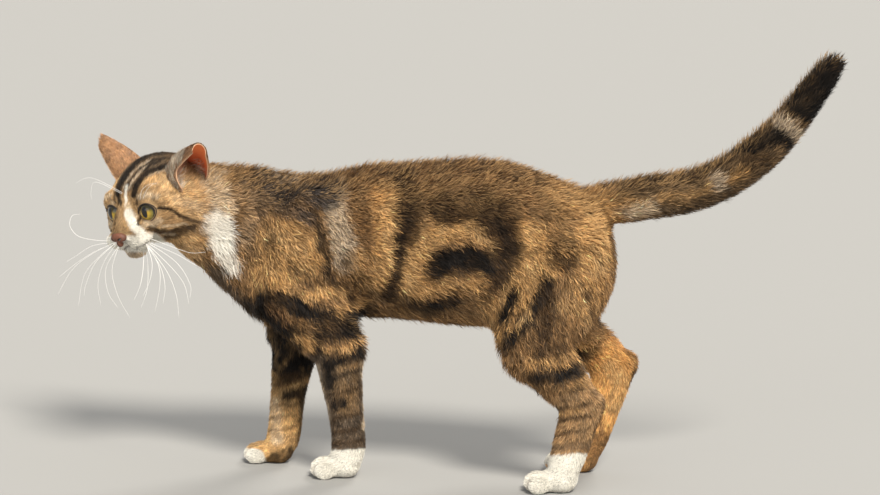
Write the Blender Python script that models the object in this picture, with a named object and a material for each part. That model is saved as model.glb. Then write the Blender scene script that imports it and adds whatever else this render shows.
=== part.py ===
"""A life-size standing cat, a still model: a short-haired tabby with its head turned to its left and its tail raised.

The cat faces -X, its left side is -Y and +Z is up. Sizes are in millimetres and become metres with MM.
The flesh is fused from rounded forms, smoothed, made coarser and then parted into nodes by thin cuts.
"""

import math

import bmesh
import bpy
import numpy as np
from mathutils import Matrix, Vector

MM = 0.001

# The box's middle in plan, as modelled, which becomes the origin
PLAN_CENTRE = (10.9, -17.9)

# Gaps between nodes, and fineness of the fused flesh
GAP = 0.32
TRUNK_VOXEL = 3.0
LIMB_VOXEL = 2.0
FINE_VOXEL = 1.5
BODY_TRIANGLES = 4450
HEAD_TRIANGLES = 2880
PAW_TRIANGLES = 480
NOSE_TRIANGLES = 220

# Trunk stations from the rump to the throat: x, y, z, half width, half height, pear shape
TRUNK = [
    (146, 0, 205, 20, 24, 0.0),
    (136, 0, 205, 34, 42, 0.0),
    (116, 0, 203, 46, 55, 0.0),
    (90, 0, 206, 51, 62, 0.05),
    (55, 0, 206, 53, 72, 0.10),
    (15, 0, 206, 54, 73, 0.12),
    (-30, 0, 205, 53, 69, 0.10),
    (-70, 0, 203, 50, 67, 0.02),
    (-105, 0, 196, 46, 64, -0.08),
    (-135, 0, 193, 43, 68, -0.12),
    (-160, -1, 198.5, 40, 67.5, -0.10),
    (-180, -4, 207.5, 38, 59, -0.05),
    (-200, -8, 218.5, 38, 49.5, 0.0),
    (-218, -12, 225.5, 36, 41, 0.0),
    (-234, -16, 230, 31, 29, 0.0),
]

# Tail stations: x, z, radius of the coat
TAIL_Y = 0
TAIL = [
    (112, 234, 20),
    (135, 241, 20),
    (160, 247, 19.5),
    (186, 252, 19.5),
    (212, 257, 19),
    (240, 269, 18.5),
    (263, 285, 18),
    (283, 304, 17),
    (300, 326, 15.5),
    (314, 347, 14),
    (326, 364, 12),
    (334, 375, 7.5),
]

# Joints of each leg, x, y, z; the near side is the cat's left
SIDES = {"left": -1, "right": 1}
SHOULDER = (-146, 30, 168)
FORELEG = {
    "left": {"elbow": (-84, 36, 122), "knee": (-76, 27, 60), "wrist": (-73, 24, 30), "paw": (-84, 23)},
    "right": {"elbow": (-127, 33, 118), "knee": (-134, 25, 60), "wrist": (-136, 22, 30), "paw": (-149, 21)},
}
HINDLEG = {
    "left": {"hip": (108, 30, 214), "knee": (84, 45, 131), "hock": (129, 42, 76), "ankle": (119, 41, 36),
             "paw": (104, 41)},
    "right": {"hip": (110, 30, 214), "knee": (96, 43, 134), "hock": (152, 38, 96), "ankle": (133, 38, 34),
              "paw": (116, 38)},
}

# The head's own axes: forward, left and up, from the point midway between the eyeballs' centres
HEAD_PLACE = (-257.5, -42.0, 230.0)
HEAD_YAW, HEAD_PITCH, HEAD_ROLL = -121.0, 18.0, 9.0
EYE_RADIUS, EYE_SPREAD, EYE_TURN, EYE_LIFT = 10.5, 18.9, 10.0, 4.0
LID_THICKNESS = 1.5
EYE_OPENING = (9.6, 8.0)
NOSE_PLACE, NOSE_RADII = (29.5, 0, -12.5), (4.6, 7.4, 5.4)

# Ears: height, radii of the section at base and tip, wall, half angle of the section at base and tip,
# how much lower the outer margin starts, and each ear's lean outward, back and turn about its own axis
EAR_HEIGHT, EAR_BASE_RADIUS, EAR_TIP_RADIUS, EAR_WALL = 50.0, 17.7, 7.0, 1.8
EAR_BASE_SPREAD, EAR_TIP_SPREAD, EAR_DROP = 137.0, 117.0, 4.4
EAR_ROOT = (-37, 29.9, 10.8)
EAR_POSE = {"left": (53, -9.6, 80), "right": (33, -1.7, 37)}

WHISKER_ROWS, WHISKERS_PER_ROW = 3, 3
WHISKER_ROOT_RADIUS, WHISKER_TIP_RADIUS = 0.42, 0.26

COLOURS = {
    "tabby": (0.28, 0.19, 0.12),
    "dark": (0.10, 0.075, 0.055),
    "white": (0.80, 0.77, 0.70),
    "ear": (0.55, 0.30, 0.22),
    "nose": (0.36, 0.16, 0.12),
    "eye": (0.45, 0.42, 0.08),
}


def head_matrix():
    """From the head's own millimetres to the world's."""
    yaw, pitch, roll = (math.radians(a) for a in (HEAD_YAW, HEAD_PITCH, HEAD_ROLL))
    turn = Matrix.Rotation(yaw, 4, "Z") @ Matrix.Rotation(pitch, 4, "Y") @ Matrix.Rotation(roll, 4, "X")
    return Matrix.Translation(Vector(HEAD_PLACE)) @ turn


HEAD = head_matrix()


def clear_scene():
    for obj in list(bpy.data.objects):
        bpy.data.objects.remove(obj)


def material(name):
    found = bpy.data.materials.get(name)
    if found is None:
        found = bpy.data.materials.new(name)
        found.use_nodes = True
        shader = found.node_tree.nodes["Principled BSDF"]
        shader.inputs["Base Color"].default_value = (*COLOURS[name], 1)
        shader.inputs["Roughness"].default_value = 0.1 if name == "eye" else 0.85
        shader.inputs["Metallic"].default_value = 0
    return found


def object_of(name, bm):
    """An object of a bmesh, which is freed."""
    mesh = bpy.data.meshes.new(name)
    bm.to_mesh(mesh)
    bm.free()
    obj = bpy.data.objects.new(name, mesh)
    bpy.context.scene.collection.objects.link(obj)
    return obj


def evaluated(obj):
    """Applies an object's modifiers to its mesh."""
    graph = bpy.context.evaluated_depsgraph_get()
    graph.update()
    mesh = bpy.data.meshes.new_from_object(obj.evaluated_get(graph))
    obj.modifiers.clear()
    old = obj.data
    obj.data = mesh
    bpy.data.meshes.remove(old)
    return obj


def scaled(point):
    return Vector(point) * MM


def ellipsoid(bm, centre, radii, place=None, turn=None, segments=20):
    """Adds an ellipsoid; place takes its millimetres to the world's, and turn rotates it about its centre."""
    shape = Matrix.Translation(Vector(centre))
    if turn is not None:
        shape = shape @ turn
    shape = shape @ Matrix.Diagonal((*radii, 1))
    if place is not None:
        shape = place @ shape
    matrix = Matrix.Scale(MM, 4) @ shape
    made = bmesh.ops.create_uvsphere(bm, u_segments=segments, v_segments=segments // 2 + 2, radius=1)
    bmesh.ops.transform(bm, matrix=matrix, verts=made["verts"])


def smooth_path(stations, steps):
    """Catmull-Rom through rows of numbers, all columns alike."""
    rows = np.array(stations, float)
    padded = np.vstack([2 * rows[0] - rows[1], rows, 2 * rows[-1] - rows[-2]])
    made = []
    for i in range(1, len(padded) - 2):
        before, start, end, after = padded[i - 1 : i + 3]
        for t in np.arange(steps) / steps:
            made.append(0.5 * (2 * start + (end - before) * t + (2 * before - 5 * start + 4 * end - after) * t**2
                               + (3 * start - before - 3 * end + after) * t**3))
    made.append(rows[-1])
    return np.array(made)


def tube(bm, stations, sides=20, steps=4, place=None, lateral=(0, 1, 0), upright=False):
    """A closed tube through stations: x, y, z, half width across, half depth and, if given, a pear shape.

    Its rings stand square to its path, or all upright."""
    rows = smooth_path([(*s, 0.0)[:6] for s in stations], steps)
    points = rows[:, :3]
    tangents = np.gradient(points, axis=0)
    rings = []
    before = Vector((0.01, 0, 1))
    for point, tangent, (wide, deep, pear) in zip(points, tangents, rows[:, 3:]):
        along = Vector((-1, 0, 0)) if upright else Vector(tangent).normalized()
        across = Vector(lateral)
        across = (across - across.dot(along) * along).normalized()
        over = along.cross(across)
        if over.dot(before) < 0:
            over = -over
        before = over
        ring = []
        for k in range(sides):
            angle = 2 * math.pi * k / sides
            swell = 1 - pear * math.sin(angle)
            spot = Vector(point) + across * wide * math.cos(angle) * swell + over * deep * math.sin(angle)
            if place is not None:
                spot = place @ spot
            ring.append(bm.verts.new(spot * MM))
        rings.append(ring)
    for lower, upper in zip(rings, rings[1:]):
        for k in range(sides):
            bm.faces.new((lower[k], lower[(k + 1) % sides], upper[(k + 1) % sides], upper[k]))
    bm.faces.new(rings[0][::-1])
    bm.faces.new(rings[-1])


def fused(name, bm, voxel, smoothing, earlier=None):
    """Overlapping closed forms, and an earlier object which is removed, as one smoothed skin."""
    bmesh.ops.recalc_face_normals(bm, faces=bm.faces)
    if earlier is not None:
        bm.from_mesh(earlier.data)
        bpy.data.objects.remove(earlier)
    obj = object_of(name, bm)
    remesh = obj.modifiers.new("Fuse", "REMESH")
    remesh.mode = "VOXEL"
    remesh.voxel_size = voxel * MM
    smooth = obj.modifiers.new("Smooth", "SMOOTH")
    smooth.factor = 0.5
    smooth.iterations = smoothing
    return evaluated(obj)


def mirrored(point, side):
    """A joint given for the right, on the side asked for."""
    return (point[0], point[1] * SIDES[side], point[2])


def trunk_forms(bm):
    tube(bm, TRUNK, sides=28, steps=3, upright=True)
    for side, sign in SIDES.items():
        lean = Matrix.Rotation(math.radians(24), 4, "Y")
        ellipsoid(bm, (-122, 31 * sign, 206), (33, 17, 56), turn=lean)
        elbow = mirrored(FORELEG[side]["elbow"], side)
        shoulder = mirrored(SHOULDER, side)
        middle = [(a + b) / 2 for a, b in zip(elbow, shoulder)]
        tube(bm, [(*shoulder, 18, 27), (*middle, 18, 29), (*elbow, 16, 27), (elbow[0] + 3, elbow[1], elbow[2] - 16, 14, 24)])
        hip = mirrored(HINDLEG[side]["hip"], side)
        knee = mirrored(HINDLEG[side]["knee"], side)
        middle = [a + (b - a) * 0.55 for a, b in zip(hip, knee)]
        tube(bm, [(*hip, 25, 40), (middle[0] + 3, middle[1] - 2 * sign, middle[2], 24, 45), (*knee, 19, 34),
                  (knee[0] + 14, knee[1], knee[2] - 18, 16, 30)])
        ellipsoid(bm, (126, 29 * sign, 188), (27, 23, 44))
        ellipsoid(bm, (elbow[0] - 10, 24 * sign, 122), (20, 15, 26))
        ellipsoid(bm, (66, 27 * sign, 152), (26, 20, 34), turn=Matrix.Rotation(math.radians(-28), 4, "Y"))


def foreleg_forms(bm, side):
    joints = FORELEG[side]
    elbow, knee, wrist = (mirrored(joints[j], side) for j in ("elbow", "knee", "wrist"))
    top = [a + (b - a) * 0.30 for a, b in zip(elbow, mirrored(SHOULDER, side))]
    upper = [a + (b - a) * 0.42 for a, b in zip(elbow, knee)]
    tube(bm, [(*top, 14, 22), (*elbow, 15.5, 25), (*upper, 14.5, 20.5), (*knee, 12.8, 16.5), (*wrist, 13, 15.5),
              (wrist[0] - 3, wrist[1], 14, 14, 15)])


def hindleg_forms(bm, side):
    joints = HINDLEG[side]
    knee, hock, ankle = (mirrored(joints[j], side) for j in ("knee", "hock", "ankle"))
    calf = [a + (b - a) * 0.45 for a, b in zip(knee, hock)]
    top = [a + (b - a) * 0.30 for a, b in zip(knee, mirrored(joints["hip"], side))]
    tube(bm, [(*top, 16, 28), (*knee, 17.5, 30), (*calf, 15.5, 26), (hock[0] - 4, hock[1], hock[2] + 4, 12.5, 18)])
    ellipsoid(bm, (hock[0] + 8, hock[1], hock[2] + 2), (13, 10.5, 14))
    tube(bm, [(hock[0] - 1, hock[1], hock[2] + 4, 12.5, 19), (*hock, 12.5, 19.5), (*ankle, 13, 16.5),
              (ankle[0] - 6, ankle[1], 16, 14, 14)])


def paw_forms(bm, x, y, reach, flare):
    """A paw at x, y whose toes point to -X: a palm and four toes side by side, with soles below the floor."""
    turn = Matrix.Rotation(math.radians(flare), 4, "Z")
    place = Matrix.Translation(Vector((x, y, 0))) @ turn
    ellipsoid(bm, (reach * 0.32, 0, 12.0), (reach * 0.60, 15.5, 13.5), place=place)
    ellipsoid(bm, (-reach * 0.16, 0, 8.5), (12, 13.5, 9.5), place=place)
    for lane in (-1.5, -0.5, 0.5, 1.5):
        setback = 3.6 * (abs(lane) - 0.5)
        ellipsoid(bm, (-reach * 0.55 + setback, lane * TOE_PITCH, 7.6), (10.2, 4.9, 8.8), place=place,
                  turn=Matrix.Rotation(math.radians(-7 * lane), 4, "Z"))


def skull_forms(bm):
    """The broad rounded forms of the head, in its own axes."""
    ellipsoid(bm, (-32, 0, 4), (41, 37, 32), place=HEAD, segments=28)
    ellipsoid(bm, (-54, 0, -6), (28, 36, 34), place=HEAD)
    ellipsoid(bm, (-9, 0, 10), (19, 24, 18), place=HEAD)
    ellipsoid(bm, (-8, 0, -12), (24, 27, 20), place=HEAD)
    ellipsoid(bm, (-8, 0, -24), (26, 19, 13.5), place=HEAD)
    for sign in (-1, 1):
        ellipsoid(bm, (-22, 25 * sign, -13), (22, 18, 21), place=HEAD)
        ellipsoid(bm, (-26, 27 * sign, 6), (20, 15, 18), place=HEAD)
        ellipsoid(bm, (-36, 25 * sign, 14), (17, 14, 14), place=HEAD)
        ellipsoid(bm, (-5, 25 * sign, -6), (12, 11, 9), place=HEAD)
        ellipsoid(bm, (-8, 29 * sign, -3), (13, 11, 14), place=HEAD)
        ellipsoid(bm, (-2, 26.5 * sign, -13), (12, 11, 12), place=HEAD)
        ellipsoid(bm, (-5, 26.5 * sign, 8), (11, 11, 10), place=HEAD)


def face_forms(bm):
    """The muzzle, nose bridge, brows and chin, in the head's own axes."""
    tube(bm, [(-4, 0, 13, 9.5, 9), (9, 0, 5, 7.4, 9.5), (20, 0, -4.0, 6.8, 9.5), (28.5, 0, -11.5, 6.6, 7)],
         sides=16, place=HEAD)
    ellipsoid(bm, (9, 0, -14), (17, 16, 13), place=HEAD)
    ellipsoid(bm, (14, 0, -31), (9, 11.5, 7), place=HEAD)
    ellipsoid(bm, (4, 0, -28), (16, 14, 9), place=HEAD)
    for sign in (-1, 1):
        ellipsoid(bm, (16.0, 11.0 * sign, -19.0), (13, 11.4, 9.6), place=HEAD,
                  turn=Matrix.Rotation(math.radians(28 * sign), 4, "Z"))
        ellipsoid(bm, (4, 14 * sign, -11), (12, 8, 8), place=HEAD,
                  turn=Matrix.Rotation(math.radians(28 * sign), 4, "Z"))
        ellipsoid(bm, (-3.5, 18.5 * sign, 10.5), (10, 11, 6.5), place=HEAD)


def eye_matrix(sign):
    """An eye's own axes: x out along its gaze, y to the cat's left and z up."""
    turn = Matrix.Rotation(math.radians(EYE_TURN * sign), 4, "Z")
    lift = Matrix.Rotation(math.radians(-EYE_LIFT), 4, "Y")
    return HEAD @ Matrix.Translation(Vector((0, EYE_SPREAD * sign, 0))) @ turn @ lift


def flesh():
    """The whole cat but the ears, eyes and nose, as one fine skin, fused from broad forms down to small ones."""
    bm = bmesh.new()
    trunk_forms(bm)
    trunk = fused("trunk", bm, TRUNK_VOXEL, 22)
    bm = bmesh.new()
    tube(bm, [(x, TAIL_Y, z, r, r) for x, z, r in TAIL])
    skull_forms(bm)
    for side in SIDES:
        foreleg_forms(bm, side)
        hindleg_forms(bm, side)
    limbs = fused("limbs", bm, LIMB_VOXEL, 9, trunk)
    bm = bmesh.new()
    face_forms(bm)
    for side, sign in SIDES.items():
        ellipsoid(bm, (0, 0, 0), (EYE_RADIUS + LID_THICKNESS,) * 3, place=eye_matrix(-sign))
        x, y = FORELEG[side]["paw"]
        paw_forms(bm, x, y * sign, 24, 8 if side == "left" else -2)
        x, y = HINDLEG[side]["paw"]
        paw_forms(bm, x, y * sign, 26, 6 if side == "left" else -4)
    return fused("flesh", bm, FINE_VOXEL, 4, limbs)


def zone(source, name, planes, triangles):
    """A copy of the flesh on the inner side of some planes, closed and made coarser."""
    bm = bmesh.new()
    bm.from_mesh(source.data)
    for point, normal in planes:
        sliced = bmesh.ops.bisect_plane(bm, geom=bm.verts[:] + bm.edges[:] + bm.faces[:], plane_co=scaled(point),
                                        plane_no=Vector(normal), clear_outer=True, dist=1e-7)
        rim = [e for e in sliced["geom_cut"] if isinstance(e, bmesh.types.BMEdge)]
        bmesh.ops.holes_fill(bm, edges=rim, sides=0)
    bmesh.ops.triangulate(bm, faces=bm.faces)
    obj = object_of(name, bm)
    fewer = obj.modifiers.new("Fewer", "DECIMATE")
    fewer.ratio = min(1.0, triangles / len(obj.data.polygons))
    return evaluated(obj)


def boolean(obj, others, operation, solver="EXACT"):
    """One Boolean of an object with a collection of closed meshes, applied, with the meshes then removed."""
    group = bpy.data.collections.new("operands")
    bpy.context.scene.collection.children.link(group)
    for other in others:
        for owner in list(other.users_collection):
            owner.objects.unlink(other)
        group.objects.link(other)
    modifier = obj.modifiers.new("Boolean", "BOOLEAN")
    modifier.operation = operation
    modifier.operand_type = "COLLECTION"
    modifier.collection = group
    modifier.solver = solver
    evaluated(obj)
    for other in list(group.objects):
        bpy.data.objects.remove(other)
    bpy.data.collections.remove(group)
    return obj


def slab(centre, normal, half_sizes, thickness=GAP):
    """A thin cutting plate: its middle, its normal and its half sizes along its two other axes."""
    bm = bmesh.new()
    bmesh.ops.create_cube(bm, size=1)
    facing = Vector(normal).to_track_quat("Z", "Y").to_matrix().to_4x4()
    size = Matrix.Diagonal((half_sizes[0] * 2, half_sizes[1] * 2, thickness, 1))
    bmesh.ops.transform(bm, matrix=Matrix.Scale(MM, 4) @ Matrix.Translation(Vector(centre)) @ facing @ size,
                        verts=bm.verts)
    return object_of("slab", bm)


def islands(obj):
    """The separate closed pieces of an object, as bmeshes with their centres in millimetres."""
    whole = bmesh.new()
    whole.from_mesh(obj.data)
    seen = set()
    found = []
    for start in whole.verts:
        if start in seen:
            continue
        stack, group = [start], {start}
        while stack:
            for edge in stack.pop().link_edges:
                for vert in edge.verts:
                    if vert not in group:
                        group.add(vert)
                        stack.append(vert)
        seen |= group
        bm = bmesh.new()
        copies = {v: bm.verts.new(v.co) for v in group}
        for face in {f for v in group for f in v.link_faces}:
            bm.faces.new([copies[v] for v in face.verts])
        found.append(bm)
    whole.free()
    return found


def largest(obj):
    """Keeps only an object's largest closed surface."""
    pieces = sorted(islands(obj), key=lambda bm: abs(bm.calc_volume(signed=True)))
    keep = pieces.pop()
    keep.to_mesh(obj.data)
    keep.free()
    for bm in pieces:
        bm.free()
    return obj


def parted(obj, seeds):
    """Splits an object into its closed pieces and names each after the seed nearest to its middle."""
    pieces = [bm for bm in islands(obj) if abs(bm.calc_volume(signed=True)) > 1e-7]
    bpy.data.objects.remove(obj)
    named = {}
    for name, seed in seeds.items():
        target = scaled(seed)
        bm = min(pieces, key=lambda piece: min((v.co - target).length for v in piece.verts))
        pieces.remove(bm)
        named[name] = object_of(name, bm)
    return named


def inflated(obj, by):
    """A copy of an object with its surface moved outwards."""
    copy = obj.copy()
    copy.data = obj.data.copy()
    bpy.context.scene.collection.objects.link(copy)
    bm = bmesh.new()
    bm.from_mesh(copy.data)
    bm.normal_update()
    for vert in bm.verts:
        vert.co += vert.normal * vert.calc_shell_factor() * by * MM
    bm.to_mesh(copy.data)
    bm.free()
    return copy


NECK_CUT = ((-209, -10, 218), (1.0, 0.18, -0.10))
PAW_HEIGHT = 31.0
SOLE_LEVELLING = 0.5
TOE_PITCH = 8.6


def neck_plane(margin):
    """A point of the plane between head and neck, moved towards the body by a margin, and its normal."""
    point, normal = NECK_CUT
    unit = Vector(normal).normalized()
    return Vector(point) + unit * margin, unit


def body_nodes(source):
    point, normal = neck_plane(GAP / 2)
    body = zone(source, "body", [(point, -normal), ((0, 0, PAW_HEIGHT - 6), (0, 0, -1))], BODY_TRIANGLES)
    cutters = [
        slab((0, 0, PAW_HEIGHT - 50 + GAP / 2), (0, 0, 1), (400, 400), thickness=100),
        slab((-179, 0, 200), (1.0, 0.10, -0.10), (110, 110)),
        slab((150, 0, 246), (1.0, 0.0, 0.28), (32, 34)),
        slab((232, 0, 265), (1.0, 0.0, 0.45), (32, 34)),
        slab((290, 0, 313), (0.62, 0.0, 0.78), (32, 34)),
    ]
    seeds = {
        "neck": (-195, -6, 262),
        "torso": (0, 0, 279),
        "tail_root": (190, 0, 272),
        "tail_middle": (262, 0, 300),
        "tail_tip": (326, 0, 364),
    }
    for side, sign in SIDES.items():
        elbow = mirrored(FORELEG[side]["elbow"], side)
        knee = mirrored(FORELEG[side]["knee"], side)
        hind = {name: mirrored(place, side) for name, place in HINDLEG[side].items() if len(place) == 3}
        cutters.append(slab((elbow[0], 40 * sign, elbow[2] - 8), (0, 0, 1), (39, 39)))
        seeds[f"foreleg_{side}"] = (knee[0], knee[1], 60)
        cutters.append(slab((110, 45 * sign, 136), (-0.38, 0, 1), (44, 70)))
        seeds[f"thigh_{side}"] = hind["knee"]
        calf = [a + (b - a) * 0.66 for a, b in zip(hind["knee"], hind["hock"])]
        cutters.append(slab(calf, Vector(hind["hock"]) - Vector(hind["knee"]), (38, 46)))
        seeds[f"hind_foot_{side}"] = hind["ankle"]
    boolean(body, cutters, "DIFFERENCE")
    return parted(body, seeds)


def paw_nodes(source):
    paws = zone(source, "paws", [((0, 0, PAW_HEIGHT - GAP / 2), (0, 0, 1)), ((0, 0, 0), (0, 0, -1))],
                4 * PAW_TRIANGLES)
    for vert in paws.data.vertices:
        if vert.co.z < SOLE_LEVELLING * MM:
            vert.co.z = 0
    seeds = {}
    for side, sign in SIDES.items():
        for name, joints in (("forepaw", FORELEG), ("hind_paw", HINDLEG)):
            x, y = joints[side]["paw"]
            seeds[f"{name}_{side}"] = (x, y * sign, 15)
    return parted(paws, seeds)


def nose_form():
    bm = bmesh.new()
    ellipsoid(bm, NOSE_PLACE, NOSE_RADII, place=HEAD)
    for sign in (-1, 1):
        ellipsoid(bm, (NOSE_PLACE[0] - 0.6, 4.6 * sign, NOSE_PLACE[2] - 0.2), (3.8, 3.7, 3.6), place=HEAD)
    ellipsoid(bm, (NOSE_PLACE[0] - 0.2, 0, NOSE_PLACE[2] - 4.8), (3.2, 2.6, 3.4), place=HEAD)
    return fused("nose", bm, 0.55, 4)


def nostrils():
    bm = bmesh.new()
    for sign in (-1, 1):
        turn = Matrix.Rotation(math.radians(24 * sign), 4, "Z") @ Matrix.Rotation(math.radians(18 * sign), 4, "X")
        ellipsoid(bm, (NOSE_PLACE[0] + 2.6, 3.5 * sign, NOSE_PLACE[2] - 0.6), (2.6, 1.7, 1.15), place=HEAD,
                  turn=turn, segments=8)
    bmesh.ops.recalc_face_normals(bm, faces=bm.faces)
    return object_of("nostrils", bm)


def eye_opening(sign):
    """An almond-shaped prism through a lid, along the eye's gaze, with its outer corner raised."""
    bm = bmesh.new()
    wide, high = EYE_OPENING
    tilt = math.radians(12) * sign
    rings = []
    for x in (5.0, 24.0):
        ring = []
        for k in range(24):
            angle = 2 * math.pi * k / 24
            y = wide * math.cos(angle)
            z = high * math.sin(angle) * (0.80 + 0.20 * abs(math.sin(angle)))
            flat = (x, y * math.cos(tilt) - z * math.sin(tilt), y * math.sin(tilt) + z * math.cos(tilt))
            ring.append(bm.verts.new((eye_matrix(sign) @ Vector(flat)) * MM))
        rings.append(ring)
    for k in range(24):
        bm.faces.new((rings[0][k], rings[0][(k + 1) % 24], rings[1][(k + 1) % 24], rings[1][k]))
    bm.faces.new(rings[0][::-1])
    bm.faces.new(rings[1])
    bmesh.ops.recalc_face_normals(bm, faces=bm.faces)
    return object_of("opening", bm)


def ball(sign, radius, segments):
    bm = bmesh.new()
    ellipsoid(bm, (0, 0, 0), (radius,) * 3, place=eye_matrix(sign), segments=segments)
    return object_of("ball", bm)


def mouth_sheet():
    """The thin cut between the lips, which runs back under the cheeks and then down behind the chin."""
    path = [(40, 0.0), (34, 0.0), (28, 0.0), (22, 0.2), (16, 0.6), (10, 1.2), (4, 1.6), (-2, 0.4), (-7, -3.5), (-10, -9),
            (-12, -16), (-14, -28)]
    lanes = np.linspace(-34, 34, 35)
    bm = bmesh.new()
    rows = []
    for forward, rise in path:
        row = []
        for lane in lanes:
            dip = -23.6 - 3.2 * math.exp(-(((abs(lane) - 7.5) / 4.2) ** 2)) + 0.10 * max(0.0, abs(lane) - 12)
            row.append(bm.verts.new((HEAD @ Vector((forward, lane, dip + rise))) * MM))
        rows.append(row)
    for lower, upper in zip(rows, rows[1:]):
        for k in range(len(lanes) - 1):
            bm.faces.new((lower[k], lower[k + 1], upper[k + 1], upper[k]))
    obj = object_of("mouth", bm)
    thick = obj.modifiers.new("Thick", "SOLIDIFY")
    thick.thickness = GAP * MM
    thick.offset = 0
    evaluated(obj)
    bm = bmesh.new()
    bm.from_mesh(obj.data)
    bmesh.ops.recalc_face_normals(bm, faces=bm.faces)
    bm.to_mesh(obj.data)
    bm.free()
    return obj


def whiskers():
    """Tapered three-sided tubes that leave the pads sideways, sweep back and droop."""
    made = []
    for sign in (-1, 1):
        for row in range(WHISKER_ROWS):
            for place in range(WHISKERS_PER_ROW):
                root = Vector((22.0 - 4.0 * place, (12.5 + 3.2 * place) * sign, -14.8 - 2.2 * row))
                length = 58 + 9 * place - 5 * row
                way = Vector((0.62 - 0.30 * place, 1.0 * sign, 0.24 - 0.22 * row)).normalized()
                sag = Vector((-0.30 - 0.12 * place, 0.0, -0.34 - 0.08 * row))
                stations = []
                for step in range(6):
                    t = step / 5
                    spot = root + way * (length * t - 3) + sag * length * t * t
                    radius = WHISKER_ROOT_RADIUS + (WHISKER_TIP_RADIUS - WHISKER_ROOT_RADIUS) * t
                    stations.append((*spot, radius, radius))
                bm = bmesh.new()
                tube(bm, stations, sides=3, steps=1, place=HEAD, lateral=(0, 0, 1))
                bmesh.ops.recalc_face_normals(bm, faces=bm.faces)
                made.append(object_of("whisker", bm))
    return made


def ear(side):
    """An open cup whose section is an arc that narrows to a rounded tip, with inner and outer walls."""
    sign = SIDES[side] * -1
    outward, back, turn = EAR_POSE[side]
    pose = (Matrix.Translation(Vector((EAR_ROOT[0], EAR_ROOT[1] * sign, EAR_ROOT[2])))
            @ Matrix.Rotation(math.radians(-outward * sign), 4, "X")
            @ Matrix.Rotation(math.radians(-back), 4, "Y")
            @ Matrix.Rotation(math.radians(turn * sign), 4, "Z"))
    place = HEAD @ pose
    bm = bmesh.new()
    layers = []
    levels, columns = 9, 13
    for shift in (EAR_WALL / 2, -EAR_WALL / 2):
        rows = []
        for i in range(levels):
            t = i / (levels - 1)
            radius = EAR_TIP_RADIUS + (EAR_BASE_RADIUS - EAR_TIP_RADIUS) * (1 - t**2.15)
            spread = math.radians(EAR_BASE_SPREAD + (EAR_TIP_SPREAD - EAR_BASE_SPREAD) * t**0.7)
            thin = shift * (1 - 0.35 * t)
            row = []
            for k in range(columns):
                angle = spread * (2 * k / (columns - 1) - 1)
                out = radius + thin
                lower = 2.2 * t * angle**2 + EAR_DROP * sign * (1 - t) * angle / spread
                spot = Vector((-out * math.cos(angle) + radius * 0.1 * t, out * math.sin(angle),
                               EAR_HEIGHT * t - lower))
                row.append(bm.verts.new((place @ spot) * MM))
            rows.append(row)
        layers.append(rows)
    outer, inner = layers
    for i in range(levels - 1):
        for k in range(columns - 1):
            bm.faces.new((outer[i][k], outer[i][k + 1], outer[i + 1][k + 1], outer[i + 1][k]))
            bm.faces.new((inner[i][k], inner[i + 1][k], inner[i + 1][k + 1], inner[i][k + 1]))
        for k in (0, columns - 1):
            bm.faces.new((outer[i][k], outer[i + 1][k], inner[i + 1][k], inner[i][k]))
    for i in (0, levels - 1):
        for k in range(columns - 1):
            bm.faces.new((outer[i][k], inner[i][k], inner[i][k + 1], outer[i][k + 1]))
    bmesh.ops.recalc_face_normals(bm, faces=bm.faces)
    return object_of(f"ear_{side}", bm)


def head_nodes(source, neck):
    """The nodes of the head; each ear is cut clear of the head and of the neck behind it."""
    point, normal = neck_plane(-GAP / 2)
    head = zone(source, "head", [(point, normal)], HEAD_TRIANGLES)
    shell = inflated(head, 0.30)
    nose = nose_form()
    fewer = nose.modifiers.new("Fewer", "DECIMATE")
    fewer.ratio = min(1.0, NOSE_TRIANGLES / len(nose.data.polygons))
    evaluated(nose)
    cutters = [inflated(nose, 0.32), mouth_sheet()]
    face = HEAD @ Matrix.Translation(Vector((9.0, 0, 0)))
    cutters.append(slab(face @ Vector((0, 0, -23)), HEAD.to_3x3() @ Vector((1, 0, 0.10)), (60, 60)))
    for sign in (-1, 1):
        cutters.append(eye_opening(sign))
        cutters.append(ball(sign, EYE_RADIUS + GAP, 22))
    boolean(head, cutters, "DIFFERENCE")
    seeds = {
        "head": HEAD @ Vector((-30, 0, 38)),
        "muzzle": HEAD @ Vector((20, 10, -15)),
        "jaw": HEAD @ Vector((17, 0, -34)),
    }
    nodes = parted(head, seeds)
    nodes["nose"] = boolean(nose, [nostrils()], "DIFFERENCE")
    boolean(nodes["muzzle"], whiskers(), "UNION")
    for side, sign in SIDES.items():
        cutters = [inflated(shell, 0), inflated(neck, 0.30)]
        nodes[f"ear_{side}"] = largest(boolean(ear(side), cutters, "DIFFERENCE"))
        nodes[f"eye_{side}"] = ball(-sign, EYE_RADIUS, 18)
    bpy.data.objects.remove(shell)
    return nodes


def paint(nodes):
    for name, obj in nodes.items():
        kind = "tabby"
        if "paw" in name:
            kind = "white"
        elif name.startswith("ear"):
            kind = "ear"
        elif name.startswith("eye"):
            kind = "eye"
        elif name == "nose":
            kind = "nose"
        elif name == "tail_tip":
            kind = "dark"
        elif name in ("muzzle", "jaw"):
            kind = "white"
        obj.data.materials.clear()
        obj.data.materials.append(material(kind))
        obj.data.shade_smooth()
        obj.data.set_sharp_from_angle(angle=math.radians(50))


def main():
    clear_scene()
    source = flesh()
    nodes = {**body_nodes(source), **paw_nodes(source)}
    nodes.update(head_nodes(source, nodes["neck"]))
    bpy.data.objects.remove(source)
    paint(nodes)
    for name, obj in nodes.items():
        obj.name = name
        obj.data.name = name
        obj.data.transform(Matrix.Translation(-scaled((*PLAN_CENTRE, 0))))


if __name__ == "__main__":
    main()
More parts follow.
